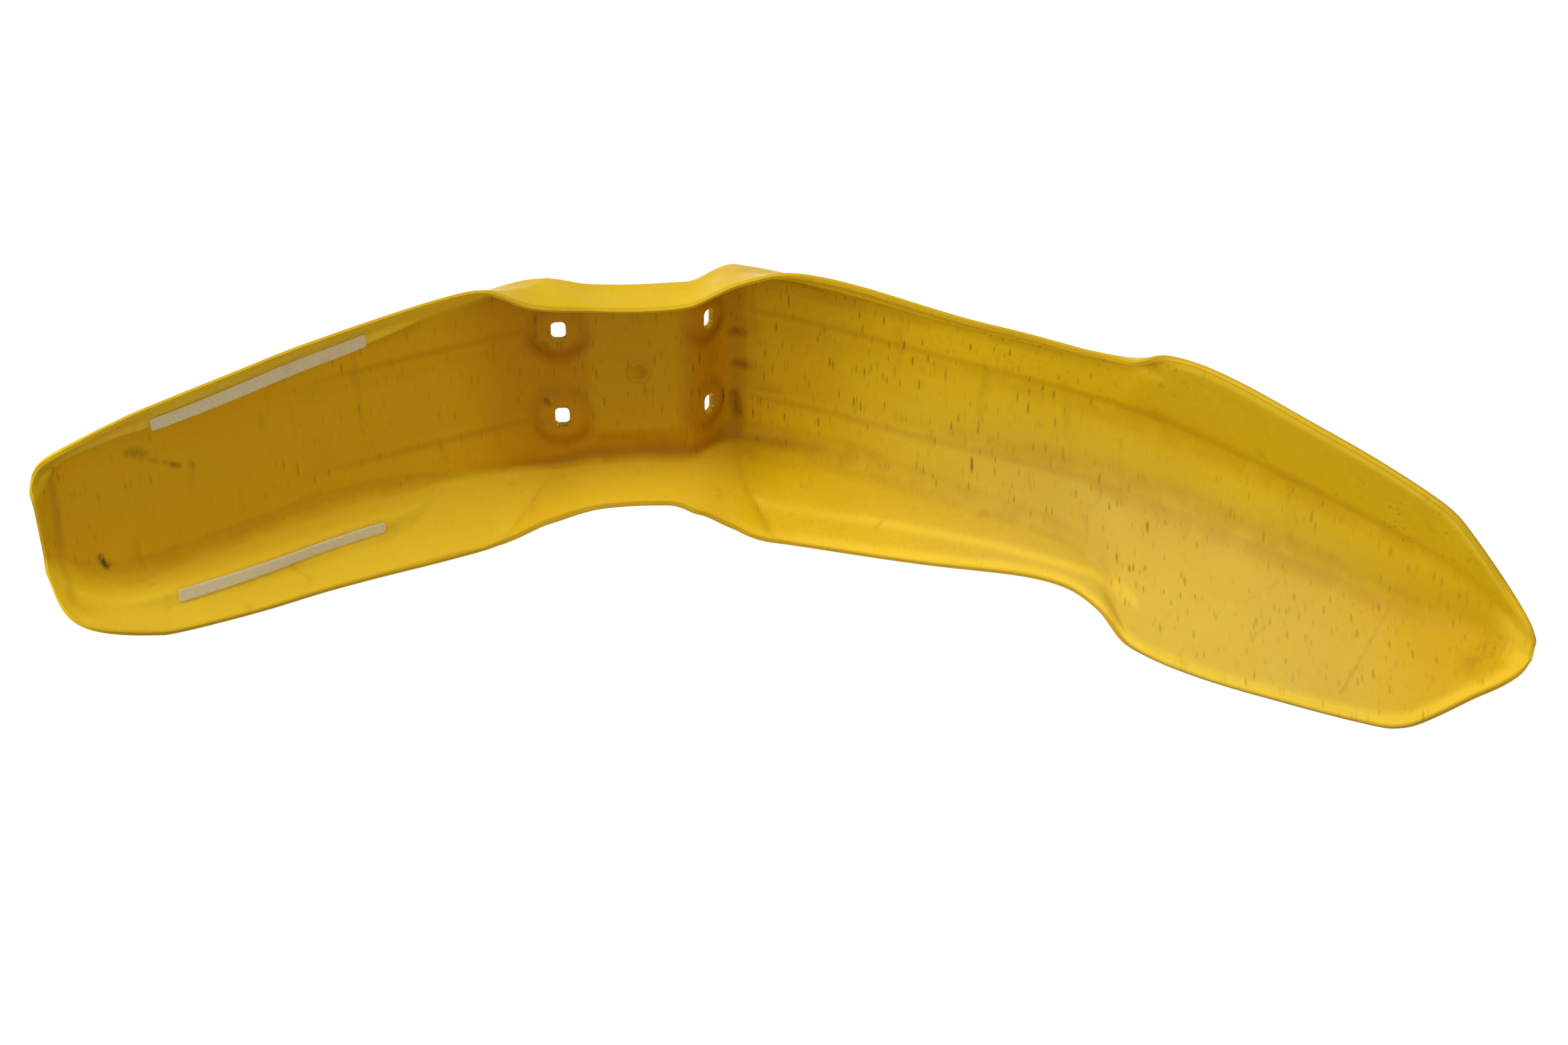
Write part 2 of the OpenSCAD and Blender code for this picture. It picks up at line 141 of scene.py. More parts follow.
# Rails of the inner side, from the tail to the tip: height of the crown, half the width and the
# drop of the free edge, the long corner between deck and wall, two folds in the wall, and the spine
RAILS = {
    "crown": [
        (rear(1), PLATE_Z - REAR_FALL - LIP_TURN),
        (rear(0.989), PLATE_Z - 0.975 * REAR_FALL - 0.3 * LIP_TURN),
        (rear(0.968), PLATE_Z - 0.935 * REAR_FALL), (rear(0.86), PLATE_Z - 0.82 * REAR_FALL),
        (rear(0.6), PLATE_Z - 0.51 * REAR_FALL), (rear(0.47), PLATE_Z - 0.355 * REAR_FALL),
        (rear(0.16), PLATE_Z - 0.1 * REAR_FALL), (rear(0), PLATE_Z), (FACE_START - 2, PLATE_Z),
        (FACE_START + 2, PLATE_Z + 2 * np.tan(FACE_ANGLE)),
        (FACE_END - 2, CREST_RISE - 2 * np.tan(FACE_ANGLE)), (FACE_END + 3, CREST_RISE),
        (front(0.02), CREST_RISE - 0.01 * FRONT_FALL), (front(0.29), CREST_RISE - 0.183 * FRONT_FALL),
        (front(0.57), CREST_RISE - 0.383 * FRONT_FALL), (front(0.73), CREST_RISE - 0.566 * FRONT_FALL),
        (front(0.88), CREST_RISE - 0.767 * FRONT_FALL), (front(0.975), CREST_RISE - 0.915 * FRONT_FALL),
        (front(1), -TIP_DROP),
    ],
    "edge_half": [
        (rear(1), 0.22 * TAIL_W), (rear(0.98), 0.31 * TAIL_W), (rear(0.96), 0.355 * TAIL_W),
        (rear(0.93), 0.39 * TAIL_W), (rear(0.9), 0.42 * TAIL_W), (rear(0.84), 0.467 * TAIL_W),
        (rear(0.77), TAIL_W / 2), (rear(0.4), 0.6 * HIP_W / 2 + 0.4 * TAIL_W / 2 + 1.5),
        (rear(0.137), HIP_W / 2), (rear(0.1), HIP_W / 2 - 1.5), (rear(0), (HIP_W + WAIST_W) / 4 - 3),
        (25, WAIST_W / 2 + 1), (45, WAIST_W / 2), (64, WAIST_W / 2 + 0.5), (83, WAIST_W / 2 + 6),
        (102, (SHOULDER_W + WAIST_W) / 4 + 3), (122, SHOULDER_W / 2 - 2), (front(0.076), SHOULDER_W / 2),
        (front(0.36), 0.3 * SHOULDER_W / 2 + 0.7 * DIP_W / 2 - 1), (front(0.47), DIP_W / 2),
        (front(0.529), DIP_W / 2 + 5), (front(0.5625), FLARE_W / 2 - 2.5), (front(0.599), FLARE_W / 2),
        (front(0.75), 0.51 * FLARE_W / 2 + 0.49 * CORNER_W / 2), (front(0.857), 0.985 * CORNER_W / 2),
        (front(0.885), 0.9 * CORNER_W / 2), (front(0.906), 0.78 * CORNER_W / 2),
        (front(0.927), 0.645 * CORNER_W / 2), (front(0.95), 0.49 * CORNER_W / 2),
        (front(0.974), 0.315 * CORNER_W / 2), (front(0.988), 0.2 * CORNER_W / 2),
        (front(1), 0.08 * CORNER_W / 2),
    ],
    "edge_depth": [
        (rear(1), 0.06 * TAIL_DEPTH), (rear(0.98), 0.43 * TAIL_DEPTH), (rear(0.96), 0.57 * TAIL_DEPTH),
        (rear(0.93), 0.69 * TAIL_DEPTH), (rear(0.84), 0.84 * TAIL_DEPTH), (rear(0.77), 0.91 * TAIL_DEPTH),
        (rear(0.5), TAIL_DEPTH), (rear(0.3), 0.96 * TAIL_DEPTH), (rear(0.12), 0.9 * TAIL_DEPTH),
        (rear(0.02), 1.15 * WAIST_DEPTH), (25, WAIST_DEPTH), (64, WAIST_DEPTH), (83, WAIST_DEPTH + 6),
        (102, SHOULDER_DEPTH), (front(0), 1.05 * SHOULDER_DEPTH), (front(0.07), 0.95 * SHOULDER_DEPTH),
        (front(0.3), 0.35 * SHOULDER_DEPTH + 0.65 * DIP_DEPTH), (front(0.45), DIP_DEPTH),
        (front(0.49), DIP_DEPTH + 1), (front(0.5625), FLARE_DEPTH - 1.5), (front(0.62), FLARE_DEPTH),
        (front(0.857), 0.82 * FLARE_DEPTH), (front(0.885), 0.74 * FLARE_DEPTH),
        (front(0.927), 0.6 * FLARE_DEPTH), (front(0.95), 0.5 * FLARE_DEPTH),
        (front(0.975), 0.38 * FLARE_DEPTH), (front(0.99), 0.2 * FLARE_DEPTH),
        (front(1), 0.02 * FLARE_DEPTH),
    ],
    "deck_half": [
        (rear(1), 0.36 * WEB_W / 2), (rear(0.93), 0.8 * WEB_W / 2), (rear(0.84), 0.97 * WEB_W / 2),
        (rear(0.42), WEB_W / 2), (rear(0.3), 0.6 * WEB_W / 2 + 0.4 * PLATE_W / 2),
        (rear(0.2), 0.2 * WEB_W / 2 + 0.8 * PLATE_W / 2), (rear(0.13), PLATE_W / 2 + 1),
        (-6, PLATE_W / 2 + 5), (20, PLATE_W / 2 + 1), (45, PLATE_W / 2), (85, PLATE_W / 2 + 1),
        (front(0), PLATE_W / 2 + 1), (front(0.15), PLATE_W / 2 - 3), (front(0.3), PLATE_W / 2 - 1),
        (front(0.49), PLATE_W / 2 + 3), (front(0.54), 0.5 * PLATE_W / 2 + 0.43 * FLARE_W / 2),
        (front(0.565), 0.9 * FLARE_W / 2), (front(0.6), 0.94 * FLARE_W / 2), (front(1), FLARE_W),
    ],
    "deck_share": [
        (rear(1), 0.05), (front(0), 0.02), (front(0.15), 0.02), (front(0.3), 0.14), (front(0.39), 0.24),
        (front(0.49), 0.33), (front(0.54), 0.5), (front(0.565), 0.86), (front(0.6), 0.93),
        (front(1), 0.93),
    ],
    "fold_one_across": [
        (rear(1), 0.3), (rear(0.9), 0.15), (rear(0.73), 0.15), (rear(0.54), 0.21), (rear(0.38), 0.24),
        (rear(0.29), 0.22), (rear(0.22), 0.05), (rear(0.02), 0.08), (25, 0.3), (64, 0.3),
        (front(0), 0.44), (front(0.1), 0.54), (front(0.48), 0.42), (front(0.56), 0.5), (front(1), 0.5),
    ],
    "fold_one_down": [
        (rear(1), 0.45), (rear(0.85), 0.68), (rear(0.73), 0.68), (rear(0.54), 0.64), (rear(0.38), 0.54),
        (rear(0.29), 0.41), (rear(0.22), 0.06), (rear(0.02), 0.08), (25, 0.4), (64, 0.4),
        (front(0), 0.52), (front(0.1), 0.62), (front(0.48), 0.54), (front(0.56), 0.5), (front(1), 0.5),
    ],
    "fold_two_across": [
        (rear(1), 0.6), (rear(0.85), 0.52), (rear(0.54), 0.56), (rear(0.38), 0.56), (rear(0.29), 0.42),
        (rear(0.22), 0.2), (rear(0.1), 0.88), (rear(0.03), 0.64), (-3, 0.3), (25, 0.6), (64, 0.6),
        (front(0), 0.66), (front(0.48), 0.62), (front(1), 0.66),
    ],
    "fold_two_down": [
        (rear(1), 0.56), (rear(0.85), 0.71), (rear(0.73), 0.7), (rear(0.54), 0.61), (rear(0.38), 0.515),
        (rear(0.29), 0.4), (rear(0.22), 0.2), (rear(0.1), 0.88), (rear(0.03), 0.5), (-3, 0.24),
        (25, 0.62), (64, 0.62), (front(0), 0.7), (front(0.48), 0.68), (front(1), 0.66),
    ],
    "spine_half": [
        (rear(1), SPINE_W / 2 + 1), (rear(0.3), SPINE_W / 2 + 1), (front(0.1), SPINE_W / 2),
        (front(0.57), SPINE_W / 2 - 2.4), (front(0.9), SPINE_W / 2 - 9), (front(1), 4),
    ],
    "spine_fade": [
        (rear(0.55), 0), (rear(0.3), 1), (rear(0.05), 1), (10, 0), (FACE_END - 3, 0), (FACE_END + 9, 1),
        (front(0.8), 1), (front(0.92), 0.2), (front(1), 0),
    ],
}

# Rows of points between the corners of a half section: spine, its foot, deck, fold one, fold two, edge
ROWS_BETWEEN = (5, 3, 13, 9, 7, 12)
# Limits at narrow sections: the half width with the spine's full step, the most of it that spine and
# deck take, and the half width of the slope at the spine's side
FULL_STEP_AT = 40.0
SPINE_MOST = 0.42
DECK_MOST = 0.94
SLOPE = 2.0
SLOPE_MOST = 0.1
# Passes of averaging: the folds, the way to the outer side, the tail's outline, its corners, the rim
FOLD_SMOOTHING = 8
OUTER_SMOOTHING = 3
TAIL_ROUNDING = 40
CORNER_SMOOTHING = 4
RIM_SMOOTHING = 60
# Rows at the tail's end whose way to the outer side is averaged as often as the outline
TAIL_ROWS = 24
# Reach of the rounding at the tail's corners, in rows and columns, and how fast it fades
CORNER_ROWS = 40
CORNER_COLUMNS = 20
FADE_ROWS = 6.0
FADE_COLUMNS = 5.0


def half_sections(x):
    """Corners of the inner half section at every x, as an array of (x, corner, [y, z])."""
    top = rail(RAILS["crown"], x)
    edge_y = rail(RAILS["edge_half"], x)
    drop = -rail(RAILS["edge_depth"], x)
    step = SPINE_STEP * rail(RAILS["spine_fade"], x) * np.minimum(1.0, edge_y / FULL_STEP_AT)
    spine = np.minimum(rail(RAILS["spine_half"], x), SPINE_MOST * edge_y)
    slope = np.minimum(SLOPE, SLOPE_MOST * edge_y)
    deck_y = np.minimum(rail(RAILS["deck_half"], x), DECK_MOST * edge_y)
    deck_z = top - step + drop * rail(RAILS["deck_share"], x)

    def fold(name):
        y = deck_y + (edge_y - deck_y) * rail(RAILS[name + "_across"], x)
        z = deck_z + (top + drop - deck_z) * rail(RAILS[name + "_down"], x)
        return y, z

    corners = [
        (0 * x, top), (spine - slope, top), (spine + slope, top - step), (deck_y, deck_z),
        fold("fold_one"), fold("fold_two"), (edge_y, top + drop),
    ]
    return np.array([np.stack(c, 1) for c in corners]).transpose(1, 0, 2)


def stations():
    """Places of the sections: close together at the pads and the turns, wider on the long runs."""
    runs = [
        (rear(1), rear(0.9), 0.9), (rear(0.9), rear(0.4), 3.0), (rear(0.4), -22.0, 2.0),
        (-22.0, FACE_END + 8, 1.0), (FACE_END + 8, front(0.45), 2.5), (front(0.45), front(0.62), 1.2),
        (front(0.62), front(0.84), 2.4), (front(0.84), front(1), 1.1),
    ]
    places = []
    for start, end, pitch in runs:
        places.append(np.linspace(start, end, int(np.ceil((end - start) / pitch)) + 1)[:-1])
    places.append(np.array([front(1)]))
    return np.concatenate(places)


def smooth_grid(points, passes):
    """Rounds the folds of a grid of points by averaging each with its neighbours, both ways."""
    for _ in range(passes):
        inner = points.copy()
        inner[:, 1:-1] = (points[:, :-2] + 2 * points[:, 1:-1] + points[:, 2:]) / 4
        points = inner.copy()
        points[1:-1] = (inner[:-2] + 2 * inner[1:-1] + inner[2:]) / 4
    return points


def unit(vectors):
    return vectors / np.linalg.norm(vectors, axis=-1, keepdims=True)


def grid_normals(points):
    """Outward normals of a grid of points, from the tail to the tip and from right to left."""
    return unit(np.cross(np.gradient(points, axis=0), np.gradient(points, axis=1)))


def inner_grid():
    """The inner side as a grid of points, with its folds rounded and its pads and marks raised."""
    x = stations()
    corners = half_sections(x)
    columns = []
    for k, count in enumerate(ROWS_BETWEEN):
        for share in np.arange(count) / count:
            columns.append(corners[:, k] + (corners[:, k + 1] - corners[:, k]) * share)
    columns.append(corners[:, -1])
    half = np.array(columns).transpose(1, 0, 2)
    left = np.concatenate([np.repeat(x[:, None, None], half.shape[1], 1), half], 2)
    right = left[:, :0:-1] * np.array([1.0, -1.0, 1.0])
    points = smooth_grid(np.concatenate([right, left], 1), FOLD_SMOOTHING)
    round_tail_corners(points)
    return points + relief(points)[..., None] * grid_normals(points)


def round_tail_corners(points):
    """Rounds the outline where the tail's end meets the two free edges, and eases the rows inside."""
    cols = points.shape[1]
    up = np.arange(CORNER_ROWS, 0, -1)
    row = np.concatenate([up, np.zeros(cols, int), up[::-1]])
    col = np.concatenate([np.zeros(CORNER_ROWS, int), np.arange(cols), np.full(CORNER_ROWS, cols - 1)])
    outline = points[row, col]
    for _ in range(TAIL_ROUNDING):
        outline[1:-1] = (outline[:-2] + 2 * outline[1:-1] + outline[2:]) / 4
    shift = outline - points[row, col]
    row_fade = np.exp(-np.arange(CORNER_ROWS) / FADE_ROWS)[:, None]
    column_fade = np.exp(-np.arange(CORNER_COLUMNS) / FADE_COLUMNS)[:, None]
    for k in range(len(row)):
        if row[k] == 0:
            points[:CORNER_ROWS, col[k]] += shift[k] * row_fade
        else:
            inwards = np.abs(col[k] - np.arange(CORNER_COLUMNS))
            points[row[k], inwards] += shift[k] * column_fade
    points[:CORNER_ROWS] = smooth_grid(points[:CORNER_ROWS], CORNER_SMOOTHING)


def slot_axes():
    """Centre and outward direction of the four slots, the radius of the ring inside each, and
    whether it is one of the rear pair, on the plate."""
    lean = np.array([-np.sin(FACE_ANGLE), 0.0, np.cos(FACE_ANGLE)])
    up = np.array([0.0, 0.0, 1.0])
    for side in (-1, 1):
        yield np.array([0.0, side * HOLE_SPACING / 2, 0.0]), up, RING_D / 2, True
        yield np.array([HOLE_ROW, side * HOLE_SPACING / 2, FRONT_RISE]), lean, SEAT_D / 2, False


def distance_to_axis(points, centre, direction):
    """Distance of every point from the line through a centre."""
    offset = points - centre
    height = offset @ direction
    return np.linalg.norm(offset - height[..., None] * direction, axis=-1)


def to_segment(points, start, end):
    """Distance of every point from the line between two places."""
    start = np.array(start)
    run = np.array(end) - start
    share = np.clip(((points - start) @ run) / (run @ run), 0.0, 1.0)
    return np.linalg.norm(points - start - share[..., None] * run, axis=-1)


def hump(distance, width):
    """A soft form: 1 in its middle, fading out over a width."""
    return np.exp(-((distance / width) ** 2))


def mirrored(place):
    """The same place on the other side of the guard."""
    return place[0], -place[1], place[2]


# Folds across the left wall at the ends of the waist, seen as dark lines: from, to, reach of the
# shade. The right wall mirrors them
LEFT_FOLDS = [
    ((-4.3, 61.0, -6.5), (-19.8, 71.2, -34.5), 2.5),
    ((-19.8, 71.2, -34.5), (-37.6, 84.5, -60.0), 2.5),
    ((107.0, 59.0, 12.0), (112.7, 72.0, -26.0), 3.5),
    ((112.7, 72.0, -26.0), (125.8, 88.6, -58.0), 3.0),
]
FOLDS = LEFT_FOLDS + [(mirrored(start), mirrored(end), reach) for start, end, reach in LEFT_FOLDS]
FOLD_DEPTH = 0.5
# Where a ring ends, from its radius, and the groove round it
RING_END = (-2.0, 3.0)
GROOVE_AT = 3.0
GROOVE_W = 4.0
GROOVE_DEPTH = 0.3
# The raised middle of the plate: its height, and where it rises and falls
PANEL_H = 0.8
PANEL_REAR = (10.0, 22.0)
PANEL_FRONT = (68.0, 76.0)
PANEL_SIDE = (40.0, 47.0)
# The mark of the mould's gate: a shallow dish with a soft rim
GATE_R = 6.0
GATE_H = 0.5
GATE_RIM_W = 2.0
GATE_DISH_W = 3.0


def relief(points):
    """Height of the small forms on the inner side, along the outward normal, in millimetres."""
    height = np.zeros(points.shape[:2])
    for centre, direction, radius, on_plate in slot_axes():
        d = distance_to_axis(points, centre, direction)
        stand = RING_H if on_plate else RING_H / 2
        height -= stand * (1 - smoothstep(radius + RING_END[0], radius + RING_END[1], d))
        height += GROOVE_DEPTH * hump(d - radius - GROOVE_AT, GROOVE_W)
    for start, end, reach in FOLDS:
        height += FOLD_DEPTH * np.exp(-to_segment(points, start, end) / reach)
    x, y = points[..., 0], np.abs(points[..., 1])
    panel = smoothstep(*PANEL_REAR, x) * (1 - smoothstep(*PANEL_FRONT, x))
    height -= PANEL_H * panel * (1 - smoothstep(*PANEL_SIDE, y))
    from_gate = np.hypot(x - GATE_X, y)
    height -= GATE_H * hump(from_gate - GATE_R, GATE_RIM_W)
    height += GATE_H * hump(from_gate, GATE_DISH_W)
    return height


# Where a seat ends, from its radius, and how far the rim's middle stands out, as a share of the wall
SEAT_END = (-0.6, 0.4)
RIM_BULGE = 0.4


def outer_grid(inner):
    """The outer side, a wall away from the inner one, with flat seats round the slots."""
    normal = smooth_grid(grid_normals(inner), OUTER_SMOOTHING)
    normal[:TAIL_ROWS] = smooth_grid(normal[:TAIL_ROWS], TAIL_ROUNDING)
    outer = inner + WALL * unit(normal)
    round_tail_corners(outer)
    outer[..., 0] = np.maximum(outer[..., 0], -REAR_REACH - END_ROOM)
    for centre, direction, _, on_plate in slot_axes():
        d = distance_to_axis(outer, centre, direction)
        seat = 1 - smoothstep(SEAT_D / 2 + SEAT_END[0], SEAT_D / 2 + SEAT_END[1], d)
        stand = 0.0 if on_plate else (WALL + RING_H) / 2
        short = stand - (outer - centre) @ direction
        outer += (seat * short)[..., None] * direction
    return outer


def rim_middle(inside, outside):
    """The line between two closed loops of points, standing out a little to round the rim."""
    centre = (inside + outside) / 2
    ahead = np.roll(centre, -1, 0) - np.roll(centre, 1, 0)
    bulge = np.cross(ahead, outside - inside)
    for _ in range(RIM_SMOOTHING):
        bulge = (np.roll(bulge, 1, 0) + 2 * bulge + np.roll(bulge, -1, 0)) / 4
    bulge = unit(bulge)
    outwards = np.sign((bulge * (centre - centre.mean(0))).sum(1).mean())
    return centre + RIM_BULGE * WALL * bulge * outwards


def shell_mesh(inner):
    """The shell as one closed mesh: inner side, rounded rim, outer side a wall away."""
    rows, cols = inner.shape[:2]
    count = rows * cols
    inside = np.arange(count).reshape(rows, cols)
    outside = inside + count
    loop = np.concatenate([inside[0, :], inside[1:, -1], inside[-1, -2::-1], inside[-2:0:-1, 0]])
    rim = 2 * count + np.arange(len(loop))
    after = np.roll(np.arange(len(loop)), -1)

    def quads(a, b, c, d):
        return np.stack([a.ravel(), b.ravel(), c.ravel(), d.ravel()], 1)

    faces = [
        quads(inside[:-1, :-1], inside[:-1, 1:], inside[1:, 1:], inside[1:, :-1]),
        quads(outside[:-1, :-1], outside[1:, :-1], outside[1:, 1:], outside[:-1, 1:]),
        quads(loop, rim, rim[after], loop[after]),
        quads(rim, loop + count, loop[after] + count, rim[after]),
    ]
    points = np.concatenate([inner.reshape(-1, 3), outer_grid(inner).reshape(-1, 3)])
    middle = rim_middle(points[loop], points[loop + count])
    return np.concatenate([points, middle]), np.concatenate(faces)


def add_object(name, data):
    obj = bpy.data.objects.new(name, data)
    bpy.context.scene.collection.objects.link(obj)
    return obj


def mesh_object(name, vertices, faces):
    """An object of one mesh, from vertices in millimetres."""
    mesh = bpy.data.meshes.new(name)
    mesh.from_pydata((np.asarray(vertices) * MM).tolist(), [], [list(map(int, f)) for f in faces])
    mesh.validate()
    return add_object(name, mesh)


def recalculate_normals(obj):
    work = bmesh.new()
    work.from_mesh(obj.data)
    bmesh.ops.recalc_face_normals(work, faces=work.faces)
    work.to_mesh(obj.data)
    work.free()


# Sides of a slot's outline, and how far its cutter reaches in and out, in millimetres
SLOT_SIDES = 48
CUT_IN = 9.0
CUT_OUT = 6.0


def slot_cutter(name, centre, direction):
    """A cutter through the wall along a slot's axis: a rectangle with round corners."""
    turns = np.linspace(0, 2 * np.pi, SLOT_SIDES, endpoint=False) + np.pi / SLOT_SIDES
    outline = SLOT_CORNER * np.stack([np.cos(turns), np.sin(turns)], 1)
    outline += np.sign(outline) * (np.array([SLOT_W, SLOT_L]) / 2 - SLOT_CORNER)
    across = np.array([0.0, 1.0, 0.0])
    ahead = np.cross(across, direction)
    ring = centre + outline[:, :1] * ahead + outline[:, 1:] * across
    vertices = np.concatenate([ring - CUT_IN * direction, ring + CUT_OUT * direction])
    lower = list(range(SLOT_SIDES))
    upper = [SLOT_SIDES + k for k in lower]
    faces = [lower[::-1], upper]
    for k in lower:
        after = (k + 1) % SLOT_SIDES
        faces.append([k, after, upper[after], upper[k]])
    return mesh_object(name, vertices, faces)


def cut_slots(shell):
    for k, (centre, direction, _, _) in enumerate(slot_axes()):
        cutter = slot_cutter("cutter_%d" % k, centre, direction)
        recalculate_normals(cutter)
        cut = shell.modifiers.new("slot_%d" % k, "BOOLEAN")
        cut.operation = "DIFFERENCE"
        cut.solver = "EXACT"
        cut.object = cutter
        bpy.context.view_layer.objects.active = shell
        bpy.ops.object.modifier_apply(modifier=cut.name)
        bpy.data.objects.remove(cutter)


# Angles in degrees from which an edge of the shell or of a strip stays sharp
SHELL_SHARP = 32.0
STRIP_SHARP = 50.0


def set_shading(obj, angle):
    """Smooth shading, with sharp edges kept where the faces meet at a steep angle."""
    for face in obj.data.polygons:
        face.use_smooth = True
    work = bmesh.new()
    work.from_mesh(obj.data)
    for edge in work.edges:
        edge.smooth = edge.calc_face_angle(0.0) < np.radians(angle)
    work.to_mesh(obj.data)
    work.free()


def build_shell(inner):
    shell = mesh_object("mudguard_shell", *shell_mesh(inner))
    recalculate_normals(shell)
    cut_slots(shell)
    set_shading(shell, SHELL_SHARP)
    return shell


# The strips: sections along one, points around a section, how square a section is across and upwards,
# and how much and over what length the ends draw in
STRIP_SECTIONS = 90
STRIP_AROUND = 28
SQUARE_ACROSS = 0.28
SQUARE_UP = 0.5
END_SQUEEZE = 0.14
END_LENGTH = 1.2


def squared(values, power):
    """Cosines or sines of a circle drawn out towards a square."""
    return np.sign(values) * np.abs(values) ** power


def build_strip(name, side):
    """A foam strip along the ledge of one side: a flat band with rounded corners."""
    x = np.linspace(-STRIP_FROM, -STRIP_TO, STRIP_SECTIONS)
    folds = half_sections(x)[:, 4:6]
    ends = np.concatenate([np.repeat(x[:, None, None], 2, 1), folds], 2)
    middle = ends.mean(1)
    out = unit(ends[:, 1] - ends[:, 0])
    lift = unit(np.cross(out, np.gradient(middle, axis=0)))
    turns = np.linspace(0, 2 * np.pi, STRIP_AROUND, endpoint=False)
    flat = squared(np.cos(turns), SQUARE_ACROSS) * STRIP_W / 2
    high = STRIP_GAP + STRIP_T / 2 * (1 + squared(np.sin(turns), SQUARE_UP))
    from_end = np.minimum(x - x[0], x[-1] - x)
    squeeze = 1 - END_SQUEEZE * (1 - smoothstep(0.0, END_LENGTH, from_end))
    ring = (
        middle[:, None]
        + out[:, None] * flat[None, :, None] * squeeze[:, None, None]
        + lift[:, None] * high[None, :, None]
    )
    ring[..., 1] *= side
    index = np.arange(STRIP_SECTIONS * STRIP_AROUND).reshape(STRIP_SECTIONS, STRIP_AROUND)
    after = np.roll(index, -1, 1)
    walls = np.stack([index[:-1], after[:-1], after[1:], index[1:]], 2).reshape(-1, 4).tolist()
    faces = walls + [index[0].tolist(), index[-1, ::-1].tolist()]
    strip = mesh_object(name, ring.reshape(-1, 3), faces)
    recalculate_normals(strip)
    set_shading(strip, STRIP_SHARP)
    return strip


# Colours as seen on screen, from 0 to 255
PALETTE = {
    "yellow": (228, 188, 14), "clouded": (221, 179, 8), "grain": (190, 140, 6),
    "deck_shade_and_dirt": (214, 156, 2), "waist_shade_and_dirt": (186, 126, 0), "old_tip": (184, 136, 8),
    "panel": (206, 160, 10), "shade": (160, 94, 0), "dust_and_sheen": (188, 163, 74), "painted_light": (248, 208, 52),
    "crease": (150, 92, 0), "speck": (112, 70, 4), "streak": (150, 102, 8), "dirt_and_shade": (70, 42, 8),
    "painted_shadow": (48, 28, 4), "scuff": (132, 84, 24), "rim": (132, 88, 4), "foam": (228, 208, 160),
    "foam_light": (240, 224, 180), "foam_stain": (205, 184, 136),
}
# Stretches along the guard, in metres: from, to, and the strength before and after, if not 0 and 1
ALONG = {
    "deck": (0.125, 0.085, 0.0, 0.4), "deck_ahead": (0.26, 0.12, 0.0, 0.3),
    "waist_rear": (-0.075, -0.01, 0.0, 0.75), "waist_front": (0.115, 0.09),
    "tip": (0.36, 0.47, 0.0, 0.5), "short_of_tip": (0.475, 0.44), "past_tail": (-0.27, -0.24),
    "panel_rear": (0.012, 0.02), "panel_front": (0.078, 0.07), "crowd_rear": (-0.03, 0.02),
    "crowd_front": (0.36, 0.26), "fewer_rear": (-0.02, 0.12, 0.6, 1.0),
    "fewer_front": (0.3, 0.38, 1.0, 0.6), "flare": (0.33, 0.36),
}
# Stretches across it, from right to left, the same way
ACROSS = {
    "tip": (-0.025, 0.01), "left_rim": (0.0, 0.03, 0.0, 0.45), "right_rim": (-0.02, -0.04, 0.0, 0.35),
    "off_left_wall": (0.03, 0.0), "left_boss": (0.018, 0.04, 0.12, 0.3),
    "right_boss": (-0.036, -0.018, 0.12, 0.6),
}
# Noise patterns: stretch across the guard, cells per metre, detail, roughness, distortion, then the
# two levels between which the pattern rises and its strength below and above them
PATTERNS = {
    "cloud": (1.0, 11.0, 3.0, 0.55, 0.0, 0.35, 0.7),
    "grain": (1.0, 320.0, 2.0, 0.6, 0.0, 0.3, 0.75, 0.0, 0.14),
    "patchy": (1.0, 60.0, 4.0, 0.6, 0.0, 0.3, 0.65, 0.35, 1.0),
    "crowd": (1.0, 8.0, 2.0, 0.5, 0.0, 0.4, 0.62, 0.2, 1.0),
    "streak": (0.16, 70.0, 3.0, 0.65, 0.3, 0.6, 0.76, 0.0, 0.2),
    "broken": (0.5, 260.0, 3.0, 0.6, 0.0, 0.35, 0.6, 0.15, 1.0),
    "roughness": (1.0, 45.0, 3.0, 0.5, 0.0, 0.3, 0.7, 0.5, 0.64),
    "fibre": (1.0, 900.0, 4.0, 0.7, 0.0, 0.3, 0.7),
    "stain": (1.0, 40.0, 3.0, 0.5, 0.0, 0.5, 0.75, 0.0, 0.5),
}


def linear(red, green, blue):
    """A colour as seen on screen, from 0 to 255, as the linear values a shader takes."""
    values = np.array([red, green, blue]) / 255
    curve = np.where(values <= 0.04045, values / 12.92, ((values + 0.055) / 1.055) ** 2.4)
    return (*curve.tolist(), 1.0)


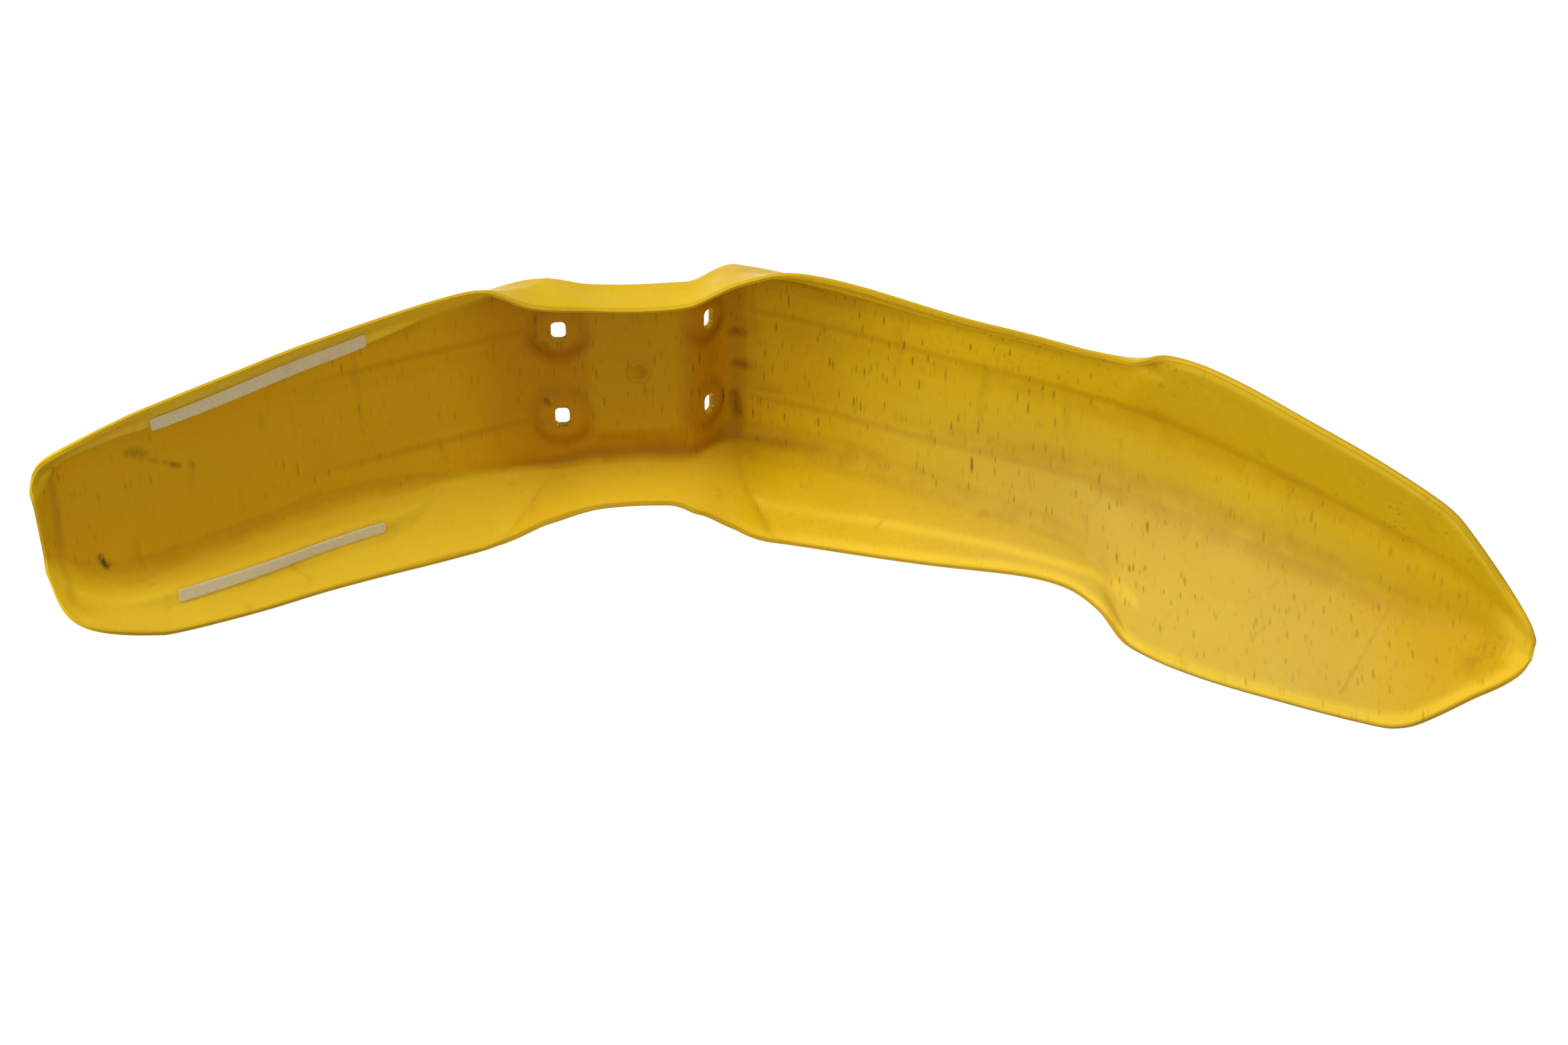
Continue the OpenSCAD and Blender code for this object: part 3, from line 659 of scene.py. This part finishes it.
class Nodes:
    """Short ways to build a material's node tree, with a base colour that tints build up."""

    def __init__(self, name, colour):
        self.material = bpy.data.materials.new(name)
        self.material.use_nodes = True
        self.tree = self.material.node_tree
        self.tree.nodes.clear()
        self.links = self.tree.links
        self.shader = self.add("BsdfPrincipled")
        output = self.add("OutputMaterial")
        self.links.new(self.shader.outputs["BSDF"], output.inputs["Surface"])
        self.place = self.add("TexCoord").outputs["Object"]
        self.base = linear(*PALETTE[colour])

    def put(self, socket, value):
        if isinstance(value, bpy.types.NodeSocket):
            self.links.new(value, socket)
        else:
            socket.default_value = value

    def fill(self, node, **inputs):
        """Sets a node's inputs, by their names with _ for a space."""
        for name, value in inputs.items():
            self.put(node.inputs[name.replace("_", " ")], value)
        return node

    def add(self, kind, **inputs):
        return self.fill(self.tree.nodes.new("ShaderNode" + kind), **inputs)

    def stretch(self, scale, shift=0.0):
        node = self.add("Mapping", Vector=self.place, Scale=scale, Location=(shift, shift, shift))
        return node.outputs["Vector"]

    def noise(self, vector, scale, detail, rough=0.5, warp=0.0):
        values = {"Scale": scale, "Detail": detail, "Roughness": rough, "Distortion": warp}
        return self.add("TexNoise", Vector=vector, **values).outputs["Fac"]

    def pattern(self, name):
        """A noise pattern of the table, as a strength."""
        wide, scale, detail, rough, warp, *levels = PATTERNS[name]
        vector = self.place if wide == 1.0 else self.stretch((1.0, wide, 1.0))
        return self.ramp(self.noise(vector, scale, detail, rough, warp), *levels)

    def spots(self, vector, scale):
        """Distance from the nearest of many scattered points, and a random colour for each."""
        node = self.add("TexVoronoi", Vector=vector, Scale=scale)
        return node.outputs["Distance"], node.outputs["Color"]

    def ramp(self, value, low, high, to_low=0.0, to_high=1.0, smooth=True):
        node = self.add("MapRange", From_Min=low, From_Max=high, To_Min=to_low, To_Max=to_high)
        node.interpolation_type = "SMOOTHSTEP" if smooth else "LINEAR"
        return self.fill(node, Value=value).outputs["Result"]

    def along(self, name):
        """A stretch of the table along the guard, as a strength."""
        return self.ramp(self.part(self.place, 0), *ALONG[name])

    def across(self, name):
        """A stretch of the table across the guard, as a strength."""
        return self.ramp(self.part(self.place, 1), *ACROSS[name])

    def math(self, operation, first, *others):
        """One operation over two or more values, from left to right."""
        for other in others or (0.0,):
            node = self.add("Math")
            node.operation = operation
            self.put(node.inputs[0], first)
            self.put(node.inputs[1], other)
            first = node.outputs[0]
        return first

    def times(self, *values):
        return self.math("MULTIPLY", *values)

    def plus(self, *values):
        return self.math("ADD", *values)

    def most(self, *values):
        return self.math("MAXIMUM", *values)

    def part(self, value, axis):
        return self.add("SeparateXYZ", Vector=value).outputs[axis]

    def tint(self, strength, colour):
        """Moves the base colour towards one of the palette's."""
        node = self.add("Mix")
        node.data_type = "RGBA"
        self.put(node.inputs["Factor"], strength)
        self.put(node.inputs[6], self.base)
        self.put(node.inputs[7], linear(*PALETTE[colour]))
        self.base = node.outputs[2]

    def attribute(self, name):
        node = self.add("Attribute")
        node.attribute_name = name
        return node.outputs["Fac"]

    def vector(self, operation, a, b, output="Vector"):
        node = self.add("VectorMath")
        node.operation = operation
        self.put(node.inputs[0], a)
        self.put(node.inputs["Scale"] if operation == "SCALE" else node.inputs[1], b)
        return node.outputs[output]

    def from_axis(self, centre, direction):
        """Distance from the line through a place, in millimetres."""
        way = Vector(direction)
        offset = self.vector("SUBTRACT", self.place, Vector(centre) * MM)
        along = self.vector("SCALE", way, self.vector("DOT_PRODUCT", offset, way, "Value"))
        return self.math("DIVIDE", self.vector("DISTANCE", offset, along, "Value"), MM)

    def stroke(self, start, end, width, strength):
        """A soft stroke between two places, in millimetres: strength on the line, nothing outside."""
        a = Vector(start) * MM
        run = Vector(end) * MM - a
        offset = self.vector("SUBTRACT", self.place, a)
        share = self.math("DIVIDE", self.vector("DOT_PRODUCT", offset, run, "Value"), run.length_squared)
        along = self.vector("SCALE", run, self.ramp(share, 0.0, 1.0, smooth=False))
        distance = self.vector("DISTANCE", offset, along, "Value")
        return self.ramp(distance, width * MM, 0.0, 0.0, strength)

    def bump(self, height, distance):
        node = self.add("Bump", Height=height, Distance=distance, Strength=1.0)
        self.fill(self.shader, Normal=node.outputs["Normal"])


# Shade in the long corners, by place along the guard, and its width
CORNER_SHADE = [(-270.0, 0.0), (-60.0, 0.05), (-12.0, 0.5), (100.0, 0.6), (130.0, 0.5), (190.0, 0.0)]
CORNER_SHADE_W = 4.5
# Shade at the foot of the spine, how far out it lies and its width, and shade in the folds
FOOT_SHADE = 0.3
FOOT_SHADE_AT = 1.5
FOOT_SHADE_W = 2.5
FOLD_SHADE = 0.18
# Soft brown shade: from, to, half width in millimetres, strength
SHADES = [
    ((109.6, -50.0, 16.0), (109.4, 58.8, 13.0), 14.0, 0.5),
    ((107.0, -14.5, 18.4), (113.0, -13.0, 17.0), 7.5, 0.8),
    ((113.0, -13.0, 17.0), (126.0, -10.5, 13.5), 4.0, 0.35),
    ((109.0, 8.0, 18.0), (114.0, 8.5, 17.0), 7.5, 0.8),
    ((114.0, 8.5, 17.0), (126.0, 11.0, 13.5), 4.0, 0.35),
    ((108.5, 30.0, 17.5), (110.1, 43.0, 16.3), 9.0, 0.8),
    ((112.0, 24.0, 17.0), (136.0, 23.5, 8.0), 4.5, 0.3),
    ((112.0, -50.0, 16.0), (112.0, 58.8, 10.0), 26.0, 0.22),
    ((50.0, -1.5, -4.0), (51.0, 1.0, -4.0), 6.0, 0.35),
    ((-262.0, 58.0, -176.0), (-225.0, 66.0, -170.0), 26.0, 0.4),
    ((-266.0, -48.0, -168.0), (-225.0, -64.0, -152.0), 26.0, 0.4),
    ((-271.5, -38.0, -155.0), (-273.9, -22.9, -148.1), 5.0, 0.4),
    ((-273.9, -22.9, -148.1), (-275.4, 17.6, -149.4), 5.0, 0.4),
    ((-275.4, 17.6, -149.4), (-269.5, 44.4, -166.0), 5.0, 0.3),
    ((-269.5, 44.4, -166.0), (-259.5, 52.1, -168.4), 5.0, 0.3),
    ((-259.5, 52.1, -168.4), (-240.1, 56.1, -157.8), 5.0, 0.25),
]
# Line of the ridge along the front's left wall, along which a highlight is painted; the right one mirrors it
RIDGE = [
    (119.3, 76.2, -34.1), (124.4, 78.4, -37.8), (184.0, 75.5, -63.5), (259.6, 70.6, -105.1),
    (310.3, 71.4, -135.4), (329.2, 74.1, -160.0),
]
RIDGE_HIGHLIGHT = 0.9
RIDGE_W = 3.0
# Where the other painted light ends: off a free edge, into the wall from the long corner, along the guard
PAINTED_LIGHT_EDGE = (3.0, 10.0)
PAINTED_LIGHT_WALL = (-1.0, 7.0)
PAINTED_LIGHT_FRONT = (90.0, 120.0)
PAINTED_LIGHT_TAIL = (-290.0, -235.0)
# Where the dust and its painted sheen start and end along the guard, and their rise across it
DUST_AND_SHEEN_START = (130.0, 320.0)
DUST_AND_SHEEN_END = (400.0, 480.0)
DUST_AND_SHEEN_ACROSS = (-30.0, 50.0)
# Creases: the passes of averaging that find them, and the depth where their darkening, painted shade and
# dirt in the hollows, starts and its range
CREASE_PASSES = 8
CREASE_FROM = 0.03
CREASE_RANGE = 0.35
# Half width of the deck's border, the range from the edge of the rim's painted shade, and how near counts as
# inside
DECK_BORDER = 3.0
RIM_RANGE = (0.3, 1.8)
ON_INNER = 0.6


def paint(obj, name, values):
    """Stores one number for every vertex, for a material to read."""
    layer = obj.data.attributes.new(name, "FLOAT", "POINT")
    layer.data.foreach_set("value", np.asarray(values, np.float32))


def nearest_points(obj, grid):
    """For every vertex of an object, the nearest point of a grid and its distance."""
    tree = KDTree(grid.shape[0] * grid.shape[1])
    for k, point in enumerate(grid.reshape(-1, 3)):
        tree.insert(point, k)
    tree.balance()
    found = [tree.find(np.array(v.co) / MM) for v in obj.data.vertices]
    return np.array([f[1] for f in found]), np.array([f[2] for f in found])


def where_light_is_painted(inner, to_edge, to_corner):
    """Where light is painted, as lighter colour: by the free edges, on the walls behind the crest, and on
    the ridges.
    """
    x = inner[:, :1, 0]
    bright = 1 - smoothstep(*PAINTED_LIGHT_EDGE, to_edge)
    bright += smoothstep(*PAINTED_LIGHT_WALL, to_corner) * (1 - smoothstep(*PAINTED_LIGHT_FRONT, x))
    bright *= smoothstep(*PAINTED_LIGHT_TAIL, x)
    for line in (RIDGE, [mirrored(place) for place in RIDGE]):
        for start, end in zip(line, line[1:]):
            ridge = RIDGE_HIGHLIGHT * hump(to_segment(inner, start, end), RIDGE_W)
            bright = np.maximum(bright, ridge)
    return np.minimum(bright, 1.0)


def shaded_places(inner, to_corner, to_foot):
    """Where shade gathers: in the long corners, at the spine's foot, in the folds and where marked."""
    x = inner[:, 0, 0]
    dark = np.interp(x, *np.array(CORNER_SHADE).T)[:, None] * hump(to_corner, CORNER_SHADE_W)
    foot = FOOT_SHADE * rail(RAILS["spine_fade"], x)[:, None]
    dark = np.maximum(dark, foot * hump(to_foot - FOOT_SHADE_AT, FOOT_SHADE_W))
    for start, end, reach in FOLDS:
        dark = np.maximum(dark, FOLD_SHADE * np.exp(-to_segment(inner, start, end) / reach))
    for start, end, width, strength in SHADES:
        away = to_segment(inner, start, end)
        dark = np.maximum(dark, strength * (1 - smoothstep(0.0, width, away)))
    return dark


def paint_shade_light_and_wear(shell, inner):
    """Paints on the shell where painted shade and painted light, dust with a painted sheen, and dirt lie,
    for its material to read.
    """
    rows, cols = inner.shape[:2]
    nearest, distance = nearest_points(shell, inner)
    inside = distance < ON_INNER

    def lay(name, values):
        paint(shell, name, values.ravel()[nearest] * inside)

    # Distances within the inner side: from the right edge, the nearest edge, the middle, the long
    # corner between deck and wall, and the foot of the spine
    step = np.linalg.norm(np.diff(inner, axis=1), axis=2)
    run = np.concatenate([np.zeros((rows, 1)), np.cumsum(step, 1)], 1)
    to_edge = np.minimum(run, run[:, -1:] - run)
    to_end = np.minimum(inner[..., 0] - inner[0, 0, 0], inner[-1, 0, 0] - inner[..., 0])
    to_edge = np.minimum(to_edge, np.abs(to_end))
    middle = cols // 2
    from_middle = np.abs(run - run[:, [middle]])
    to_foot = from_middle - from_middle[:, [middle + sum(ROWS_BETWEEN[:2])]]
    to_corner = from_middle - from_middle[:, [middle + sum(ROWS_BETWEEN[:3])]]

    # Darker in the hollows of the creases: painted shade, and dirt
    hollow = -((smooth_grid(inner, CREASE_PASSES) - inner) * grid_normals(inner)).sum(2)
    lay("crease", np.clip((hollow - CREASE_FROM) / CREASE_RANGE, 0.0, 1.0))
    lay("deck", 1 - smoothstep(-DECK_BORDER, DECK_BORDER, to_corner))
    # Painted light: lighter colour by the free edges, on the walls and along the ridges
    lay("painted_light", where_light_is_painted(inner, to_edge, to_corner))
    lay("shade", shaded_places(inner, to_corner, to_foot))
    # Dust with a painted sheen: paler and whiter on the front's walls
    dust_and_sheen = smoothstep(*DUST_AND_SHEEN_START, inner[:, :1, 0]) * (1 - smoothstep(*DUST_AND_SHEEN_END, inner[:, :1, 0]))
    lay("dust_and_sheen", dust_and_sheen * smoothstep(*DUST_AND_SHEEN_ACROSS, inner[..., 1]))
    # Nearness to the free edge, for the painted shade along the rim
    paint(shell, "rim", 1 - smoothstep(*RIM_RANGE, to_edge.ravel()[nearest]))
    paint(shell, "inside", inside)


# Forms that the bump adds: radius of the bosses, half width of their edge, and the rise of each form
BOSS_R = 16.0
FRONT_BOSS_R = SEAT_D / 2 + 1.0
BOSS_EDGE = 4.5
BOSS_RISE = 1.2
PANEL_RISE = 0.5
GATE_RISE = 0.9
# The shade round a boss, from its radius: where it rises inside and where it ends outside
BOSS_SHADE_IN = (-7.0, 0.0)
BOSS_SHADE_OUT = (9.0, 1.0)
# Edge of the panel from the middle, in metres, and the gate's rim and dish, from its radius
PANEL_BUMP_SIDE = (0.046, 0.038)
GATE_RIM_SIDE = 3.0
GATE_DISH_EDGE = 1.0
# The painted shadow at the left front boss, an arc round its slot: turns in degrees, radius, how far inside
# the seat it lies, half width, and the strength of each piece
SHADOW_TURNS = (-35.0, 45.0)
SHADOW_R = 14.2
SHADOW_IN = 1.8
SHADOW_W = 1.1
SHADOW_STRENGTHS = (0.5, 0.9, 0.95, 0.9, 0.5)
# Dirt, and at the crest dirt with painted shade: from, to, half width in millimetres, strength
MARKS = [
    ((-258.0, 34.0, -137.5), (-255.2, 39.2, -137.5), 3.9, 1.0),
    ((-267.8, -41.0, -160.0), (-270.5, -30.0, -150.0), 2.5, 0.6),
    ((-236.0, -26.0, -123.5), (-230.0, -22.0, -119.5), 5.5, 0.4),
    ((-226.9, -17.6, -117.6), (-214.0, -8.0, -109.5), 2.6, 0.25),
    ((-217.0, -9.0, -111.0), (-213.5, -7.5, -109.0), 3.4, 0.4),
    ((-208.0, -7.0, -105.0), (-206.5, -3.0, -104.0), 2.8, 0.35),
    ((-9.5, -22.5, -4.8), (-7.5, -20.5, -4.8), 3.2, 0.4),
    ((-9.6, 18.0, -4.8), (-7.6, 21.0, -4.8), 3.0, 0.6),
    ((-13.5, -40.0, -5.6), (-14.0, -26.0, -4.8), 1.7, 0.5),
    ((-13.3, 31.0, -5.3), (-12.3, 34.0, -5.3), 2.2, 0.35),
    ((474.0, 24.0, -296.0), (486.0, 8.0, -302.0), 12.0, 0.22),
    # These three deepen the wedges at the crest: dirt, and painted shade in its fold
    ((108.0, -14.5, 18.2), (112.0, -13.2, 17.2), 6.5, 0.3),
    ((110.0, 8.0, 17.8), (114.0, 8.5, 17.0), 6.5, 0.3),
    ((109.0, 31.0, 17.3), (110.1, 42.0, 16.3), 7.5, 0.3),
]
# Scuffs near the tip, the same way
SCUFFS = [
    ((421.5, 68.5, -262.0), (429.5, 54.5, -257.5), 2.4, 0.18),
    ((429.5, 54.5, -257.5), (446.5, 23.5, -246.0), 2.0, 0.1),
]
# Specks: cells per metre, shift, radius as a share of a cell, share of cells with one, strength
SPECKS = [
    (360.0, 2.1, 0.26, 0.95, 0.45),
    (300.0, 1.3, 0.25, 0.95, 0.6),
    (200.0, 0.0, 0.2, 0.5, 0.7),
    (130.0, 3.7, 0.16, 0.18, 0.8),
]
# Their cells' stretch, the choice's softness, the dark middle as a share of the radius, the range of
# chance with the least strength, and how much is left on the left wall
SPECK_STRETCH = (1.0, 0.16, 0.3)
SPECK_CHOICE = 0.02
SPECK_CORE = 0.35
SPECK_DEPTH = (0.2, 1.0, 0.15)
WALL_SPECKS = 0.2
# Strength of some tints (the panel's painted light, the dust and painted sheen, the painted light
# elsewhere), and the range and strength of the creases
PANEL_TINT = 0.55
DUST_AND_SHEEN_TINT = 0.55
PAINTED_LIGHT_TINT = 0.55
CREASE_TINT = (0.1, 1.0, 0.0, 0.22)
PLASTIC_IOR = 1.46
PLASTIC_SHINE = 0.13
# Slow waves and fine grain of its surface: cells per metre, detail, and height in millimetres
WAVES = (30.0, 2.0)
WAVE_H = 0.3
GRAIN = (1400.0, 2.0)
GRAIN_H = 0.04
FOAM_ROUGHNESS = 0.95
FOAM_IOR = 1.3
# Height of the fibres, in metres
FIBRE_H = 0.0008


def boss_forms(n):
    """The soft bosses round the slots, as a share of their rise, and the shade at their edges."""
    bosses, shades = [], []
    for centre, direction, _, on_plate in slot_axes():
        away = n.from_axis(centre, direction)
        size = BOSS_R if on_plate else FRONT_BOSS_R
        bosses.append(n.ramp(away, size + BOSS_EDGE, size - BOSS_EDGE))
        rising = n.ramp(away, size + BOSS_SHADE_IN[0], size + BOSS_SHADE_IN[1])
        ending = n.ramp(away, size + BOSS_SHADE_OUT[0], size + BOSS_SHADE_OUT[1])
        # Deeper on the side away from the light
        turned = n.across("right_boss" if centre[1] < 0 else "left_boss")
        shades.append(n.times(rising, ending, turned))
    return n.most(*bosses), n.most(*shades)


def panel_form(n):
    """The middle of the plate, which stands in a little between the bosses."""
    side = n.ramp(n.math("ABSOLUTE", n.part(n.place, 1)), *PANEL_BUMP_SIDE)
    return n.times(n.along("panel_rear"), n.along("panel_front"), side)


def gate_form(n):
    """The mark of the mould's gate: a shallow dish with a soft rim, in millimetres."""
    away = n.from_axis((GATE_X, 0.0, 0.0), (0.0, 0.0, 1.0))
    rim = n.times(n.ramp(away, GATE_R - GATE_RIM_SIDE, GATE_R), n.ramp(away, GATE_R + GATE_RIM_SIDE, GATE_R))
    dish = n.ramp(away, GATE_R - GATE_DISH_EDGE, 0.0)
    return n.math("SUBTRACT", n.times(rim, GATE_RISE), n.times(dish, GATE_RISE))


def boss_edge_shadow():
    """The painted shadow ahead of the left front boss: strokes along an arc round its slot."""
    centre, direction = [(c, d) for c, d, _, on_plate in slot_axes() if c[1] > 0 and not on_plate][0]
    across = np.array([0.0, 1.0, 0.0])
    ahead = np.cross(across, direction)
    turns = np.radians(np.linspace(*SHADOW_TURNS, len(SHADOW_STRENGTHS) + 1))
    arc = [centre - SHADOW_IN * direction + SHADOW_R * (np.cos(t) * ahead - np.sin(t) * across) for t in turns]
    for start, end, strength in zip(arc, arc[1:], SHADOW_STRENGTHS):
        yield tuple(start), tuple(end), SHADOW_W, strength


def darken_decks_and_tip(n):
    """Browns the deck of the tail and the waist, as painted shade in the deep inner side and dirt, and the
    tip, as dirt.
    """
    deck, inside = n.attribute("deck"), n.attribute("inside")
    # Painted shade and dirt on the deck of the tail, the waist's plate and a little ahead of the crest
    n.tint(n.times(n.plus(n.along("deck"), n.along("deck_ahead")), deck), "deck_shade_and_dirt")
    n.tint(n.times(n.along("waist_rear"), n.along("waist_front"), deck), "waist_shade_and_dirt")
    n.tint(n.times(n.along("tip"), n.across("tip"), inside), "old_tip")


def specks(n):
    """Small dark specks, longest across the guard, with hardly any on the left wall before the flare."""
    crowd = n.most(n.pattern("crowd"), n.times(n.along("crowd_rear"), n.along("crowd_front")))
    off_wall = n.most(n.across("off_left_wall"), n.along("flare"), n.attribute("deck"), WALL_SPECKS)
    crowd = n.times(crowd, n.along("fewer_rear"), n.along("fewer_front"), off_wall)
    for scale, shift, size, share, strength in SPECKS:
        distance, chance = n.spots(n.stretch(SPECK_STRETCH, shift), scale)
        picked = n.ramp(n.part(chance, 0), share, share - SPECK_CHOICE)
        depth = n.ramp(n.part(chance, 1), *SPECK_DEPTH, strength)
        form = n.ramp(distance, size, size * SPECK_CORE)
        n.tint(n.times(form, picked, depth, crowd, n.attribute("inside")), "speck")


def dirt_and_shade(n):
    """Streaks across the guard, marks of dirt, the painted shadow at a boss, and scuffs."""
    inside = n.attribute("inside")
    n.tint(n.times(n.pattern("streak"), inside), "streak")
    broken = n.pattern("broken")
    for mark in MARKS:
        n.tint(n.times(n.stroke(*mark), broken, inside), "dirt_and_shade")
    # Painted shadow at the edge of the left front boss
    for painted_shadow in boss_edge_shadow():
        n.tint(n.times(n.stroke(*painted_shadow), inside), "painted_shadow")
    for scuff in SCUFFS:
        n.tint(n.stroke(*scuff), "scuff")


def plastic():
    """Yellow moulded plastic, dulled and dirtied by use, with painted shade and painted light in its colour.
    """
    n = Nodes("yellow_plastic", "yellow")
    inside = n.attribute("inside")
    bosses, boss_shade = boss_forms(n)
    raised = n.times(panel_form(n), n.math("SUBTRACT", 1.0, bosses))
    n.tint(n.pattern("cloud"), "clouded")
    n.tint(n.pattern("grain"), "grain")
    darken_decks_and_tip(n)
    # The raised panel lighter: painted light where it stands out of the plate's painted shade
    n.tint(n.times(raised, inside, PANEL_TINT), "panel")
    n.tint(n.most(n.attribute("shade"), n.times(boss_shade, inside)), "shade")
    # Dust and a painted sheen: paler and whiter on the front's walls
    n.tint(n.times(n.attribute("dust_and_sheen"), DUST_AND_SHEEN_TINT), "dust_and_sheen")
    # Painted light: lighter colour by the free edges, on the walls and along the ridges
    n.tint(n.times(n.attribute("painted_light"), PAINTED_LIGHT_TINT), "painted_light")
    # The creases darkened: painted shade in the hollows, and dirt
    crease = n.ramp(n.attribute("crease"), *CREASE_TINT)
    n.tint(n.times(crease, n.pattern("patchy"), n.along("short_of_tip")), "crease")
    specks(n)
    dirt_and_shade(n)
    # Painted shade along the free edges, short of the tail's end
    sides = n.most(n.across("left_rim"), n.across("right_rim"))
    n.tint(n.times(n.attribute("rim"), sides, n.along("past_tail")), "rim")
    n.fill(n.shader, Base_Color=n.base, Roughness=n.pattern("roughness"))
    n.fill(n.shader, IOR=PLASTIC_IOR, Specular_IOR_Level=PLASTIC_SHINE)
    surface = n.plus(n.times(n.noise(n.place, *WAVES), WAVE_H), n.times(n.noise(n.place, *GRAIN), GRAIN_H))
    forms = n.plus(n.times(bosses, BOSS_RISE), n.times(raised, PANEL_RISE), gate_form(n))
    n.bump(n.plus(surface, n.times(forms, inside)), MM)
    return n.material


def foam():
    """Dull foam tape, felted on its face."""
    n = Nodes("strip_foam", "foam")
    n.tint(n.pattern("fibre"), "foam_light")
    n.tint(n.pattern("stain"), "foam_stain")
    n.fill(n.shader, Base_Color=n.base, Roughness=FOAM_ROUGHNESS, IOR=FOAM_IOR)
    n.bump(n.noise(n.place, *PATTERNS["fibre"][1:4]), FIBRE_H)
    return n.material


# The floor: half its width and its height in metres, its colour and its roughness
FLOOR_HALF = 4.0
FLOOR_Z = -1.7
FLOOR_COLOUR = (0.8, 0.8, 0.8, 1.0)
FLOOR_ROUGHNESS = 0.9
# The world's strength as a light; to the eye it is 1, which is white
WORLD_LIGHT = 0.36
# Lamps: name, place, size, power, share of it in reflections. They all point at one place
LIGHTS = [
    ("key", (-2.0, -0.8, -0.6), 1.2, 28.0, 1.0),
    ("side", (-0.3, -1.8, -0.5), 1.2, 20.0, 0.15),
    ("front", (1.6, -0.8, -0.9), 1.2, 4.0, 0.3),
    ("top", (0.2, 0.6, 1.8), 1.4, 12.0, 1.0),
]
LIGHT_TARGET = (0.1, 0.0, -0.1)
# The photograph's camera: its place in metres, its right and up, and its lens in millimetres
CAMERA_PLACE = (0.0301, -0.6652, -1.1844)
CAMERA_RIGHT = (0.9964, -0.0127, -0.0833)
CAMERA_UP = (0.0352, -0.8353, 0.5486)
CAMERA_LENS = 50.49
CAMERA_SENSOR = 36.0


def build_floor():
    """A pale floor under everything, out of the camera's view, that throws light back up."""
    signs = [(-1, -1), (1, -1), (1, 1), (-1, 1)]
    corners = [(a * FLOOR_HALF, b * FLOOR_HALF, FLOOR_Z) for a, b in signs]
    mesh = bpy.data.meshes.new("floor")
    mesh.from_pydata(corners, [], [(0, 1, 2, 3)])
    material = bpy.data.materials.new("pale_floor")
    material.use_nodes = True
    shader = material.node_tree.nodes["Principled BSDF"]
    shader.inputs["Base Color"].default_value = FLOOR_COLOUR
    shader.inputs["Roughness"].default_value = FLOOR_ROUGHNESS
    mesh.materials.append(material)
    add_object("floor", mesh)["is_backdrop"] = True


def build_world():
    """White to the eye, softer as a light."""
    world = bpy.data.worlds.new("studio")
    bpy.context.scene.world = world
    world.use_nodes = True
    tree = world.node_tree
    ray = tree.nodes.new("ShaderNodeLightPath")
    level = tree.nodes.new("ShaderNodeMapRange")
    level.inputs["To Min"].default_value = WORLD_LIGHT
    level.inputs["To Max"].default_value = 1.0
    tree.links.new(ray.outputs["Is Camera Ray"], level.inputs["Value"])
    tree.links.new(level.outputs["Result"], tree.nodes["Background"].inputs["Strength"])
    tree.nodes["Background"].inputs["Color"].default_value = (1.0, 1.0, 1.0, 1.0)


def area_light(name, place, size, power, shine):
    """A round lamp that points at the guard."""
    data = bpy.data.lights.new(name, "AREA")
    data.specular_factor = shine
    data.shape = "DISK"
    data.size = size
    data.energy = power
    light = add_object(name, data)
    light.location = place
    aim = Vector(LIGHT_TARGET) - Vector(place)
    light.rotation_euler = aim.to_track_quat("-Z", "Y").to_euler()


def build_camera():
    """The photograph's view: from below and to the right, looking up into the guard."""
    data = bpy.data.cameras.new("camera")
    data.sensor_width = CAMERA_SENSOR
    data.sensor_fit = "HORIZONTAL"
    data.lens = CAMERA_LENS
    data.clip_start = 0.01
    data.clip_end = 50.0
    camera = add_object("camera", data)
    right = Vector(CAMERA_RIGHT)
    back = right.cross(Vector(CAMERA_UP)).normalized()
    up = back.cross(right).normalized()
    turn = Matrix((right.normalized(), up, back)).transposed().to_4x4()
    camera.matrix_world = Matrix.Translation(CAMERA_PLACE) @ turn
    bpy.context.scene.camera = camera


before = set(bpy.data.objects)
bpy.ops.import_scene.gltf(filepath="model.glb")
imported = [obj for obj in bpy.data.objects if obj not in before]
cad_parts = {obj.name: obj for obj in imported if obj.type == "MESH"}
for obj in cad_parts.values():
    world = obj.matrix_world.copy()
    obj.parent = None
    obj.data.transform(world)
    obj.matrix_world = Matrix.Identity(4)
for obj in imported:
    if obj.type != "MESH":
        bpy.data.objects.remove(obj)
cad_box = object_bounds()

inner_points = inner_grid()
shell = build_shell(inner_points)
paint_shade_light_and_wear(shell, inner_points)
shell.data.materials.append(plastic())
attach(shell, "root")
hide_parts("mudguard")

foam_material = foam()
for side_name, side in (("left", 1.0), ("right", -1.0)):
    strip = build_strip(side_name + "_strip_foam", side)
    strip.data.materials.append(foam_material)
    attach(strip, "root")
    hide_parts(side_name + "_strip")

build_floor()
build_world()
for lamp in LIGHTS:
    area_light(*lamp)
build_camera()
bpy.context.scene.view_settings.view_transform = "Standard"

boxes = {"cad": cad_box, "visual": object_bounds()}
{k: [list(map(float, c)) for c in v] for k, v in boxes.items()}
